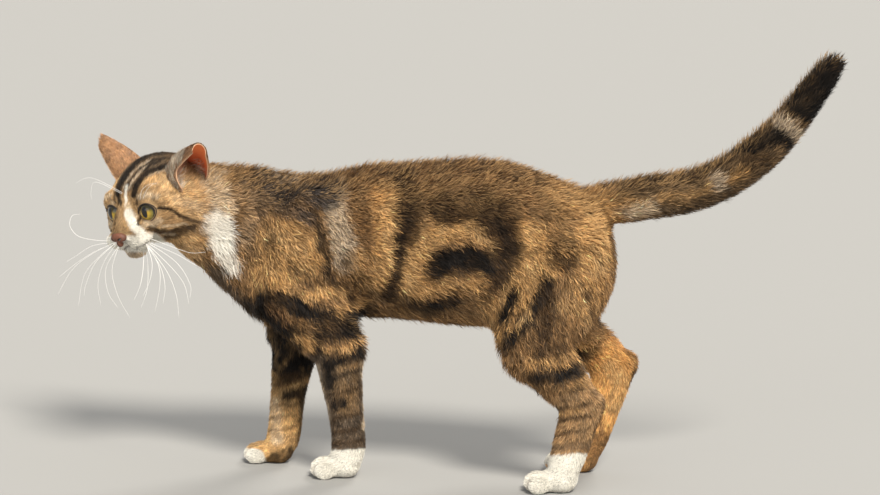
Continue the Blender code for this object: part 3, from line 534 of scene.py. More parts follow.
# Whiskers and brow hairs: how far the tip stands nearer to the camera than the root, in millimetres, then the
# path from the root in the photograph's pixels
WHISKERS = {
    "near": [
        (10, (149, 247), (152, 262), (150, 280), (143, 296)),
        (14, (146, 250), (148, 268), (147, 290), (141, 308)),
        (16, (150, 250), (160, 266), (165, 286), (163, 304)),
        (20, (152, 250), (166, 270), (176, 294), (179, 318)),
        (22, (153, 249), (170, 266), (184, 284), (189, 304)),
        (24, (155, 248), (176, 262), (190, 284), (190, 298)),
        (26, (157, 247), (176, 254), (190, 262), (201, 268)),
        (24, (158, 245), (178, 249), (192, 253), (206, 252)),
        (16, (144, 250), (143, 270), (140, 286), (134, 300)),
        (18, (151, 248), (158, 264), (160, 284), (155, 312)),
    ],
    "far": [
        (-18, (113, 245), (98, 250), (78, 262), (58, 278)),
        (-22, (112, 247), (92, 254), (72, 270), (57, 296)),
        (-16, (113, 249), (98, 258), (84, 276), (78, 308)),
        (-12, (114, 250), (104, 262), (98, 284), (101, 306)),
        (-8, (115, 251), (106, 268), (108, 292), (118, 308)),
        (-6, (117, 252), (112, 270), (118, 296), (130, 318)),
        (-24, (110, 241), (94, 240), (78, 236), (70, 226), (72, 216), (80, 214)),
        (-16, (110, 243), (92, 246), (76, 256), (66, 262)),
        (-10, (114, 248), (96, 262), (86, 284), (84, 296)),
    ],
    "brow": [
        (-6, (107, 188), (98, 180), (86, 178), (76, 183)),
        (-4, (106, 190), (96, 182), (91, 192), (92, 200)),
        (8, (140, 200), (142, 190), (150, 184), (158, 184)),
        (8, (143, 199), (148, 188), (158, 182)),
    ],
}
WHISKER_RADIUS = (0.32, 0.09)

# Materials: roughness, the grain's scale and how dark and light it makes the colour, and what else differs
MATERIALS = {
    "skin_under_coat": {"roughness": 0.75, "scale": 900, "low": 0.7, "high": 1.25, "bump": 0.4},
    "coat_hair": {"roughness": 0.6, "scale": 700, "low": 0.90, "high": 1.10, "sheen": 0.04, "specular": 0.2},
    "bare_skin": {"roughness": 0.55, "scale": 1400, "low": 0.85, "high": 1.15, "bump": 0.12},
    "wet_eye": {"roughness": 0.12, "scale": 900, "low": 0.94, "high": 1.06, "specular": 0.3, "coat": 0.6},
    "ear_hair": {"roughness": 0.55, "scale": 900, "low": 0.9, "high": 1.1, "sheen": 0.1, "specular": 0.3},
    "whisker": {"roughness": 0.35, "scale": 600, "low": 0.95, "high": 1.05},
}

# The stage: the floor's half width in metres and its colour, the surround's colour and strength, and each
# light's name, direction, strength, breadth in degrees and colour
FLOOR_SIZE = 14
FLOOR_COLOUR = (0.35, 0.345, 0.33)
SURROUND_COLOUR, WORLD_STRENGTH = (0.95, 0.97, 1.0), 0.48
LIGHTS = [
    ("key", (0.42, -0.80, 1.0), 4.1, 16, (1.0, 0.95, 0.87)),
    ("fill", (-0.4, -1.0, 0.15), 0.9, 60, (0.97, 0.98, 1.0)),
    ("rim", (0.4, 0.9, 0.9), 1.7, 20, (1.0, 0.96, 0.90)),
]


def to_frame(points):
    """Modelled millimetres in the part's metres."""
    return (np.asarray(points, float) - ORIGIN) * MM


def from_frame(points):
    """The part's metres in modelled millimetres."""
    return np.asarray(points, float) / MM + ORIGIN


def lengths(rows):
    return np.linalg.norm(rows, axis=-1)


def unit(rows):
    return rows / np.maximum(lengths(rows)[..., None], 1e-9)


def moved(place):
    return Matrix.Translation(Vector(place))


def turned(axis, degrees):
    return Matrix.Rotation(math.radians(degrees), 4, axis)


def out_of_axes(matrix, points):
    rows = np.array(matrix)
    return points @ rows[:3, :3].T + rows[:3, 3]


def into_axes(matrix, points):
    return out_of_axes(matrix.inverted(), points)


HEAD = moved(HEAD_PLACE) @ (turned("Z", HEAD_YAW) @ turned("Y", HEAD_PITCH) @ turned("X", HEAD_ROLL))


def eye_matrix(side):
    """An eye's own axes: x out along its gaze, y to the cat's left and z up."""
    sign = -SIDES[side]
    return HEAD @ moved((0, EYE_SPREAD * sign, 0)) @ turned("Z", EYE_TURN * sign) @ turned("Y", -EYE_LIFT)


def ramp(value, low, high):
    """0 up to low, 1 from high, and a smooth rise between."""
    t = np.clip((value - low) / (high - low), 0, 1)
    return t * t * (3 - 2 * t)


def bell(value, width):
    """1 at 0, and less the further a value is from it."""
    return np.exp(-((value / width) ** 2))


def mixed(under, over, share):
    """Rows of colours or values with another laid over them, by a share from 0 to 1 for each row."""
    share = share[:, None]
    return under * (1 - share) + np.array(over) * share


def rotated(across, rise, angle):
    """Flat places in axes that are turned by an angle."""
    cos, sin = math.cos(angle), math.sin(angle)
    return across * cos + rise * sin, rise * cos - across * sin


def noise(points, size, seed):
    """Smooth noise from -1 to 1 over places in millimetres, with lumps of a size."""
    spots = np.asarray(points, float) / size + 31.7 * seed
    base = np.floor(spots).astype(np.int64)
    part = spots - base
    part = part * part * (3 - 2 * part)
    total = np.zeros(len(spots))
    for corner in itertools.product((0, 1), repeat=3):
        cell = base + np.array(corner)
        hashed = (cell[:, 0] * 73856093) ^ (cell[:, 1] * 19349663) ^ (cell[:, 2] * 83492791)
        hashed = (hashed ^ (hashed >> 13)) * 1274126177
        hashed ^= hashed >> 16
        weight = np.prod(np.where(np.array(corner) == 1, part, 1 - part), axis=1)
        total += weight * ((hashed & 0xFFFF) / 32768.0 - 1)
    return total


def view_axes():
    """The camera's back, right and up."""
    turn, rise, roll = (math.radians(a) for a in (TURN, RISE, ROLL))
    back = np.array((math.sin(turn) * math.cos(rise), -math.cos(turn) * math.cos(rise), math.sin(rise)))
    right = np.array((math.cos(turn), math.sin(turn), 0.0))
    up = np.cross(back, right)
    return back, right * math.cos(roll) + up * math.sin(roll), up * math.cos(roll) - right * math.sin(roll)


BACK, RIGHT, UP = view_axes()


def pixels_of(points):
    """Where places show in the photograph's frame."""
    ray = points - (TARGET + BACK * DISTANCE)
    scale = DISTANCE / MM_PER_PIXEL / -(ray @ BACK)
    return np.stack([PIXELS[0] / 2 + scale * (ray @ RIGHT), PIXELS[1] / 2 - scale * (ray @ UP)], axis=1)


def place_at(pixel, nearer):
    """The place seen at a pixel that is nearer to the camera than the target by some millimetres."""
    across = (pixel[0] - PIXELS[0] / 2) * MM_PER_PIXEL
    rise = (PIXELS[1] / 2 - pixel[1]) * MM_PER_PIXEL
    share = (DISTANCE - nearer) / DISTANCE
    return TARGET + BACK * nearer + (RIGHT * across + UP * rise) * share


def linked(name, data):
    """A new object in the scene."""
    obj = bpy.data.objects.new(name, data)
    bpy.context.scene.collection.objects.link(obj)
    return obj


def mesh_from(bm, name):
    """A bmesh as a mesh. The bmesh is freed."""
    mesh = bpy.data.meshes.new(name)
    bm.to_mesh(mesh)
    bm.free()
    return mesh


def bmesh_from(mesh):
    bm = bmesh.new()
    bm.from_mesh(mesh)
    return bm


def piece(name, points, triangles, colours, material):
    """A piece of the looks from modelled millimetres, with a colour at each vertex. It rides on the body."""
    mesh = bpy.data.meshes.new(name)
    mesh.vertices.add(len(points))
    mesh.vertices.foreach_set("co", to_frame(points).astype(np.float32).ravel())
    mesh.loops.add(triangles.size)
    mesh.loops.foreach_set("vertex_index", triangles.astype(np.int32).ravel())
    mesh.polygons.add(len(triangles))
    mesh.polygons.foreach_set("loop_start", np.arange(0, triangles.size, 3, dtype=np.int32))
    mesh.polygons.foreach_set("use_smooth", np.ones(len(triangles), bool))
    mesh.update(calc_edges=True)
    layer = mesh.color_attributes.new(name="Coat", type="FLOAT_COLOR", domain="POINT")
    rgba = np.ones((len(points), 4), np.float32)
    rgba[:, :3] = np.clip(colours, 0, 1)
    layer.data.foreach_set("color", rgba.ravel())
    mesh.materials.append(material)
    obj = linked(name, mesh)
    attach(obj, BODY)
    return obj


def arrays_of(mesh):
    """A mesh's vertices in modelled millimetres, and its triangles."""
    mesh.calc_loop_triangles()
    points = np.empty(len(mesh.vertices) * 3, np.float32)
    mesh.vertices.foreach_get("co", points)
    triangles = np.empty(len(mesh.loop_triangles) * 3, np.int32)
    mesh.loop_triangles.foreach_get("vertices", triangles)
    return from_frame(points.reshape(-1, 3)), triangles.reshape(-1, 3)


def split_quads(a, b, c, d):
    """Two triangles for each four-cornered face, from arrays of its corners."""
    return np.concatenate([np.stack([a, b, c], -1).reshape(-1, 3), np.stack([a, c, d], -1).reshape(-1, 3)])


def edges_of(triangles):
    pairs = np.concatenate([triangles[:, [0, 1]], triangles[:, [1, 2]], triangles[:, [2, 0]]])
    return np.unique(np.sort(pairs, axis=1), axis=0)


def relaxed(values, edges, rounds):
    """Values at vertices, each drawn halfway to its neighbours' mean a number of times."""
    values = np.array(values, float)
    columns = values.reshape(len(values), -1)
    starts = np.concatenate([edges[:, 0], edges[:, 1]])
    ends = np.concatenate([edges[:, 1], edges[:, 0]])
    count = np.maximum(np.bincount(starts, minlength=len(columns)), 1)
    for _ in range(rounds):
        mean = [np.bincount(starts, column[ends], len(columns)) / count for column in columns.T]
        columns = columns + (np.array(mean).T - columns) * 0.5
    return columns.reshape(values.shape)


def normals_of(points, triangles):
    a, b, c = (points[triangles[:, k]] for k in range(3))
    facing = np.cross(b - a, c - a)
    total = np.zeros_like(points)
    for axis, k in itertools.product(range(3), range(3)):
        total[:, axis] += np.bincount(triangles[:, k], facing[:, axis], len(points))
    return unit(total)


def ball(bm, matrix, radii):
    """Adds an ellipsoid whose middle and axes are a matrix's, in modelled millimetres."""
    place = Matrix.Scale(MM, 4) @ moved(-Vector(ORIGIN)) @ matrix @ Matrix.Diagonal((*radii, 1))
    made = bmesh.ops.create_uvsphere(bm, u_segments=24, v_segments=14, radius=1)
    bmesh.ops.transform(bm, matrix=place, verts=made["verts"])


def fused(name, bm, voxel):
    """A bmesh of overlapping closed forms as a mesh with one surface."""
    obj = linked(name, mesh_from(bm, name))
    remesh = obj.modifiers.new("Fuse", "REMESH")
    remesh.mode = "VOXEL"
    remesh.voxel_size = voxel * MM
    graph = bpy.context.evaluated_depsgraph_get()
    graph.update()
    mesh = bpy.data.meshes.new_from_object(obj.evaluated_get(graph))
    bpy.data.objects.remove(obj)
    return mesh


def main_surface(bm):
    """Drops all but the largest connected surface."""
    left = set(bm.verts)
    best = set()
    while left:
        start = left.pop()
        stack, group = [start], {start}
        while stack:
            vert = stack.pop()
            fresh = {edge.other_vert(vert) for edge in vert.link_edges} - group
            group |= fresh
            stack.extend(fresh)
        left -= group
        best = max(best, group, key=len)
    bmesh.ops.delete(bm, geom=[v for v in bm.verts if v not in best], context="VERTS")


def refined(bm, chosen):
    """Splits the faces whose middles, in modelled millimetres, are chosen."""
    middles = from_frame(np.array([face.calc_center_median() for face in bm.faces]))
    faces = list(bm.faces)
    picked = [faces[k] for k in np.flatnonzero(chosen(middles))]
    edges = list({edge for face in picked for edge in face.edges})
    bmesh.ops.subdivide_edges(bm, edges=edges, cuts=1, use_grid_fill=True)


def near_face_or_paws(points):
    return (into_axes(HEAD, points)[:, 0] > FINE_FACE) | (points[:, 2] < FINE_PAWS)


def near_features(points):
    """Close round the eyes, nose and mouth."""
    local = into_axes(HEAD, points)
    close = (local[:, 0] > FINEST_FACE) & (local[:, 2] < FINEST_BELOW)
    for side in SIDES:
        away = lengths(into_axes(eye_matrix(side), points) - (EYE_RADIUS, 0, 0))
        close |= away < FINEST_ROUND_EYE
    return close


def bare_skin(frame):
    """The flesh nodes and the nose as one closed fine surface. It fills the gaps and the eye openings."""
    whole = bmesh.new()
    for name in SKINNED:
        bm = bmesh_from(frame["nodes"][name].data)
        bmesh.ops.remove_doubles(bm, verts=bm.verts, dist=1e-6)
        bm.normal_update()
        for vert in bm.verts:
            vert.co += vert.normal * SWELL * MM
        whole.from_mesh(mesh_from(bm, name))
    for side in SIDES:
        ball(whole, eye_matrix(side), (EYE_RADIUS + LID_THICKNESS,) * 3)
    bm = bmesh_from(fused("skin", whole, SKIN_VOXEL))
    main_surface(bm)
    refined(bm, near_face_or_paws)
    refined(bm, near_features)
    bmesh.ops.triangulate(bm, faces=bm.faces)
    points, triangles = arrays_of(mesh_from(bm, "bare"))
    return relaxed(points, edges_of(triangles), SKIN_SMOOTHING), triangles


def labels_of(frame, points):
    """The name of the node nearest to each place, among the flesh and the nose."""
    vertices, faces, owners = [], [], []
    for index, name in enumerate(SKINNED):
        own, triangles = arrays_of(frame["nodes"][name].data)
        faces.extend((triangles + len(vertices)).tolist())
        vertices.extend(own.tolist())
        owners.extend([index] * len(triangles))
    tree = BVHTree.FromPolygons(vertices, faces)
    found = [owners[tree.find_nearest(Vector(point))[2]] for point in points]
    return np.array(SKINNED)[found]


def coat_of(labels, points, edges):
    """Depth, tuft length, tuft width and density at each vertex, blended from node to node."""
    values = np.zeros((len(points), 4))
    for name in set(labels):
        kind = name if name in COAT else name.rsplit("_", 1)[0]
        values[labels == name] = COAT[kind]
    local = into_axes(HEAD, points)
    cheek = ramp(-local[:, 0], *CHEEK_BACK) * (labels == "head") * (1 - 0.6 * ramp(local[:, 2], *CHEEK_UP))
    values = mixed(values, CHEEK_COAT, cheek)
    trunk = (labels == "torso") | (labels == "neck")
    chest = trunk * ramp(-points[:, 0], *CHEST_FORWARD) * ramp(-points[:, 2], *CHEST_DOWN)
    belly = (labels == "torso") * ramp(-points[:, 2], *BELLY_DOWN)
    for extra, share in ((CHEST_EXTRA, chest), (BELLY_EXTRA, belly)):
        values[:, 0] += extra[0] * share
        values[:, 1] += extra[1] * share
    values = relaxed(values, edges, BLEND_ROUNDS)
    eyes = np.min([lengths(into_axes(eye_matrix(side), points)) for side in SIDES], axis=0)
    close = 1 - ramp(eyes, EYE_RADIUS + 1.5, EYE_RADIUS + 7)
    values[:, 0] = values[:, 0] * (1 - close) + EYE_COAT_DEPTH * close
    values[:, 1] = values[:, 1] * (1 - 0.55 * close)
    return values


def groups_of(labels, points):
    """Which group of markings each vertex belongs to, as a column of shares for each group."""
    head = np.isin(labels, ("head", "muzzle", "jaw", "nose"))
    tail = np.char.startswith(labels, "tail")
    legs = [np.isin(labels, nodes) for nodes in LEG_NODES]
    legs[1] |= (labels == "torso") & (points[:, 1] > 10) & (points[:, 2] < 136) & (points[:, 0] < -70)
    trunk = ~(head | tail | np.any(legs, axis=0))
    return np.stack([trunk, tail, head, *legs], axis=1).astype(float)


def almond(angle, extra=0.0):
    """The opening's edge at angles round its middle, before its tilt, or a line outside it."""
    wide, high = EYE_OPENING
    across = (wide + extra) * np.cos(angle)
    rise = (high + extra) * np.sin(angle) * (0.80 + 0.20 * np.abs(np.sin(angle)))
    return across, rise


def almond_gap(side, local):
    """How far places in an eye's own axes are outside its opening, in millimetres, seen from the front."""
    outward = local[:, 1] if side == "left" else -local[:, 1]
    across, rise = rotated(outward, local[:, 2], math.radians(EYE_TILT))
    angle = np.arctan2(rise / EYE_OPENING[1], across / EYE_OPENING[0])
    return np.hypot(across, rise) - np.hypot(*almond(angle))


def open_eyes(points):
    """Sinks the skin inside each almond behind the eyeball and thins it to a lid's edge round it."""
    for side in SIDES:
        matrix = eye_matrix(side)
        local = into_axes(matrix, points)
        radius = lengths(local)
        near = (radius < EYE_RADIUS + 5) & (local[:, 0] > 1)
        gap = almond_gap(side, local)
        lid = EYE_RADIUS + LID_GAP + LID_ROLL * ramp(gap, 0.2, 2.6)
        wanted = np.where(gap < 0, EYE_RADIUS - EYE_SINK * ramp(-gap, 0.0, 0.9), lid)
        share = near * (1 - ramp(gap, 2.0, 5.0))
        wanted = radius * (1 - share) + wanted * share
        local = local * (wanted / np.maximum(radius, 1e-6))[:, None]
        points = np.where(near[:, None], out_of_axes(matrix, local), points)
    return points


def lip_line(local):
    """Height of the mouth's line at each place in the head's axes."""
    lane = np.abs(local[:, 1])
    back = ramp(-local[:, 0], -16, 2)
    sag = LIP_SAG * bell(lane - LIP_LANE, LIP_BREADTH)
    return LIP_HEIGHT - sag + 0.10 * np.maximum(0, lane - 12) + 1.6 * back


def mouth_nearness(points):
    """1 on the line of the mouth and on the groove under the nose, 0 away from them."""
    local = into_axes(HEAD, points)
    mouth = bell(local[:, 2] - lip_line(local), 0.75) * ramp(local[:, 0], 2, 8)
    groove = bell(local[:, 1], 0.7) * ramp(local[:, 0], 20, 24)
    groove *= ramp(local[:, 2], -25, -23) * (1 - ramp(local[:, 2], -17, -15))
    return np.maximum(mouth, groove) * (np.abs(local[:, 1]) < 26)


def nose_distance(points):
    """How far places are from the middle of the nose's seat: 1 at its edge."""
    return lengths((into_axes(HEAD, points) - NOSE_PLACE) / NOSE_HOLLOW)


def toe_grooves(points):
    """1 in the clefts between toes, 0 away from them."""
    deep = np.zeros(len(points))
    for x, y, flare, reach in PAWS.values():
        local = into_axes(moved((x, y, 0)) @ turned("Z", flare), points)
        near = (lengths(local[:, :2]) < 40) & (points[:, 2] < 24)
        front = ramp(-local[:, 0], reach * 0.30, reach * 0.62)
        for lane in (-1, 0, 1):
            spread = TOE_PITCH * lane * (1 + 0.006 * np.maximum(0, -local[:, 0] - reach * 0.5))
            deep = np.maximum(deep, bell(local[:, 1] - spread, 1.15) * front * near)
    return deep


def both_sides(rows):
    """Each place and way, and its mirror image where the place is off the midline."""
    for place, way in rows:
        for sign in (-1, 1) if place[1] else (1,):
            mirror = np.array((1.0, sign, 1.0))
            yield place * mirror, way * mirror


def lie_guides():
    """Places and directions of the lie, in modelled millimetres."""
    guides = list(both_sides(BODY_LIE))
    for chain in LIMB_LIE:
        for start, end in zip(chain, chain[1:]):
            way = np.array(end, float) - start
            guides += [(start + way * share, way) for share in (0.15, 0.5, 0.85)]
    turn = np.array(HEAD)[:3, :3]
    guides += [(out_of_axes(HEAD, place), turn @ way) for place, way in both_sides(HEAD_LIE)]
    places, ways = zip(*guides)
    return np.array(places, float), unit(np.array(ways, float))


def lie_of(points, normals, edges):
    """The way the hair lies at each vertex, along the skin."""

    def along_skin(flow):
        return unit(flow - normals * np.sum(flow * normals, axis=1, keepdims=True))

    places, ways = lie_guides()
    flow = np.empty_like(points)
    for start in range(0, len(points), 4000):
        part = points[start : start + 4000]
        away = lengths(part[:, None] - places[None])
        flow[start : start + 4000] = 1 / (away**2 + 60) ** 2.2 @ ways
    flow = unit(flow)
    for _ in range(3):
        flow = relaxed(along_skin(flow), edges, 4)
    return along_skin(flow)


def cover(pixels, path, width, softness):
    """How much of a stroke covers each pixel place, from 0 to 1."""
    path = np.array(path, float)
    reach = width / 2 + softness
    share = np.zeros(len(pixels))
    near = np.all((pixels > path.min(axis=0) - reach) & (pixels < path.max(axis=0) + reach), axis=1)
    spots = pixels[near]
    nearest = np.full(len(spots), np.inf)
    for start, end in zip(path, path[1:]):
        along = end - start
        t = np.clip((spots - start) @ along / (along @ along), 0, 1)
        nearest = np.minimum(nearest, lengths(spots - start - t[:, None] * along))
    share[near] = 1 - ramp(nearest, width / 2 - softness / 2, width / 2 + softness / 2)
    return share


def painted(layer, pixels, marks, mottle):
    """Lays strokes over the colours of some places, in their order, thinned here and there by the mottle."""
    for name, width, softness, strength, *path in marks:
        share = cover(pixels, path, width, softness) * strength
        if name not in UNBROKEN:
            share = np.clip(share * (1 + mottle), 0, 1)
        layer = mixed(layer, COLOURS[name], share)
    return layer


def coat_colours(points, normals, shares):
    """The coat's colour at places on the skin. The far side of trunk, tail and head mirrors the near one."""
    wander = [noise(points, 19, seed) * 3.2 + noise(points, 6, seed + 5) * 1.8 for seed in (1, 2)]
    fine = [noise(points, 8, seed) * 0.8 for seed in (3, 4)]
    wander, fine = np.stack(wander, axis=1), np.stack(fine, axis=1)
    middle = -16 * ramp(-points[:, 0], 158, 236)
    mirrored = points.copy()
    mirrored[:, 1] = middle - np.abs(points[:, 1] - middle)
    local = into_axes(HEAD, points)
    hidden = local[:, 1] < -FACE_SEEN
    local[hidden, 1] *= -1
    views = {
        "face": pixels_of(out_of_axes(HEAD, local)) + fine,
        "side": pixels_of(mirrored) + wander,
        "own": pixels_of(points) + wander * 0.6,
    }
    patches = 1 + 0.28 * noise(points, 26, 8) + 0.28 * noise(points, 9, 9)
    mottle = np.minimum(0.30 * noise(points, 11, 15) + 0.26 * noise(points, 5, 16), 0.1) * (1 - shares[:, 2])
    colours = np.zeros((len(points), 3))
    for share, (base, view, marks) in zip(shares.T, GROUPS.values()):
        chosen = share > 0.01
        own = np.array(COLOURS[base]) * patches[chosen][:, None]
        colours[chosen] += painted(own, views[view][chosen], marks, mottle[chosen]) * share[chosen][:, None]
    upward = ramp(normals[:, 2], 0.55, 0.9) * (shares[:, 0] + shares[:, 1]) * ramp(points[:, 0], -215, -190)
    lanes = np.abs(points[:, 1] - middle + 2.5 * noise(points, 22, 12))
    stripe = sum(strong * bell(lanes - off, wide) for off, wide, strong in (BACK_STRIPE, SIDE_STRIPE))
    for name, share in (
        ("umber", upward * np.clip(stripe, 0, 1) * 0.75),
        # Painted shade on the trunk's fur that faces down
        ("belly", ramp(-normals[:, 2], 0.6, 0.95) * shares[:, 0] * 0.5),
        # Painted shade in the nose's seat
        ("hollow", 1 - ramp(nose_distance(points), 0.90, 1.10)),
        # The lips' dark edge, and painted shade in the mouth's line and in the groove under the nose
        ("lips", mouth_nearness(points) * shares[:, 2] * 0.75),
        # Painted shade in the clefts between the toes
        ("clefts", toe_grooves(points) * 0.6),
    ):
        colours = mixed(colours, COLOURS[name], share)
    return colours


def set_inputs(node, **values):
    """Sets a node's inputs by name, with an underscore for each space."""
    for name, value in values.items():
        node.inputs[name.replace("_", " ")].default_value = value


def node_material(name, **values):
    """A new material with its tree and its Principled shader, and values of that shader's inputs."""
    made = bpy.data.materials.new(name)
    made.use_nodes = True
    shader = made.node_tree.nodes["Principled BSDF"]
    set_inputs(shader, **values)
    return made, made.node_tree, shader


def painted_material(name):
    """A material whose colour comes from the mesh's own colours, made darker and lighter by a fine grain."""
    look = MATERIALS[name]
    made, tree, shader = node_material(name, Roughness=look["roughness"],
                                       Specular_IOR_Level=look.get("specular", 0.35),
                                       Sheen_Weight=look.get("sheen", 0.0), Sheen_Roughness=0.5,
                                       Coat_Weight=look.get("coat", 0.0), Coat_Roughness=0.02)
    kinds = ("VertexColor", "TexCoord", "TexNoise", "MapRange", "VectorMath")
    layer, place, grain, span, product = (tree.nodes.new("ShaderNode" + kind) for kind in kinds)
    layer.layer_name = "Coat"
    product.operation = "SCALE"
    set_inputs(grain, Scale=look["scale"], Detail=3.0)
    set_inputs(span, To_Min=look["low"], To_Max=look["high"])
    tree.links.new(place.outputs["Object"], grain.inputs["Vector"])
    tree.links.new(grain.outputs["Fac"], span.inputs["Value"])
    tree.links.new(layer.outputs["Color"], product.inputs[0])
    tree.links.new(span.outputs["Result"], product.inputs["Scale"])
    tree.links.new(product.outputs["Vector"], shader.inputs["Base Color"])
    if "bump" in look:
        rough = tree.nodes.new("ShaderNodeBump")
        set_inputs(rough, Distance=look["bump"] * MM, Strength=0.8)
        tree.links.new(grain.outputs["Fac"], rough.inputs["Height"])
        tree.links.new(rough.outputs["Normal"], shader.inputs["Normal"])
    return made


def make_skin(frame):
    """Builds the skin's piece, and returns what the coat and the whiskers need of it."""
    points, triangles = bare_skin(frame)
    edges = edges_of(triangles)
    normals = unit(relaxed(normals_of(points, triangles), edges, 2))
    labels = labels_of(frame, points)
    outline = points.copy()
    values = coat_of(labels, points, edges)
    shares = relaxed(groups_of(labels, points), edges, GROUP_ROUNDS)
    groove = mouth_nearness(points) * LIP_DEPTH + toe_grooves(points) * CLEFT_DEPTH
    groove += NOSE_SEAT_DEPTH * (1 - ramp(nose_distance(points), 0.75, 1.0))
    points = points - normals * (values[:, 0] + SWELL + groove)[:, None]
    points[:, 2] = np.maximum(points[:, 2], LOWEST_SKIN)
    points = open_eyes(points)
    normals = normals_of(points, triangles)
    colours = coat_colours(outline, normals, shares) * SKIN_SHADE
    obj = piece("skin", points, triangles, colours, painted_material("skin_under_coat"))
    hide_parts(*FLESH)
    return {"points": points, "triangles": triangles, "normals": normals, "labels": labels, "values": values,
            "flow": lie_of(points, normals, edges), "outline": outline, "shares": shares}


def sampled(skin, chosen, seed):
    """Random roots on the chosen triangles, as dense as the coat asks, with the skin's values there."""
    rng = np.random.default_rng(seed)
    triangles = skin["triangles"][chosen]
    corners = skin["points"][triangles]
    area = lengths(np.cross(corners[:, 1] - corners[:, 0], corners[:, 2] - corners[:, 0])) / 2
    wanted = area * (skin["values"][triangles, 3].mean(axis=1) * 1.0)
    total = int(wanted.sum())
    picks = np.searchsorted(np.cumsum(wanted), (np.arange(total) + rng.random(total)) / total * wanted.sum())
    owner = triangles[np.clip(picks, 0, len(triangles) - 1)]
    first, second = rng.random(total), rng.random(total)
    over = first + second > 1
    first[over], second[over] = 1 - first[over], 1 - second[over]
    share = np.stack([1 - first - second, first, second], axis=1)
    roots = {name: np.einsum("ij,ij...->i...", share, skin[name][owner])
             for name in ("points", "normals", "flow", "values", "outline", "shares")}
    roots["normals"] = unit(roots["normals"])
    roots["flow"] = unit(roots["flow"])
    return roots


def kept(roots, mask):
    return {name: rows[mask] for name, rows in roots.items()}


def hairy(roots):
    """Leaves out the eyes, the nose leather, the mouth's line and the soles."""
    points = roots["points"]
    mask = (points[:, 2] > BARE_SOLE) & (nose_distance(points) > 1)
    for side in SIDES:
        local = into_axes(eye_matrix(side), points)
        inside = almond_gap(side, local) < 0.9
        mask &= ~(inside & (local[:, 0] > 0) & (lengths(local) < EYE_RADIUS + 3))
    mask &= np.random.default_rng(SEED).random(len(points)) > mouth_nearness(points) * 1.1
    return kept(roots, mask)


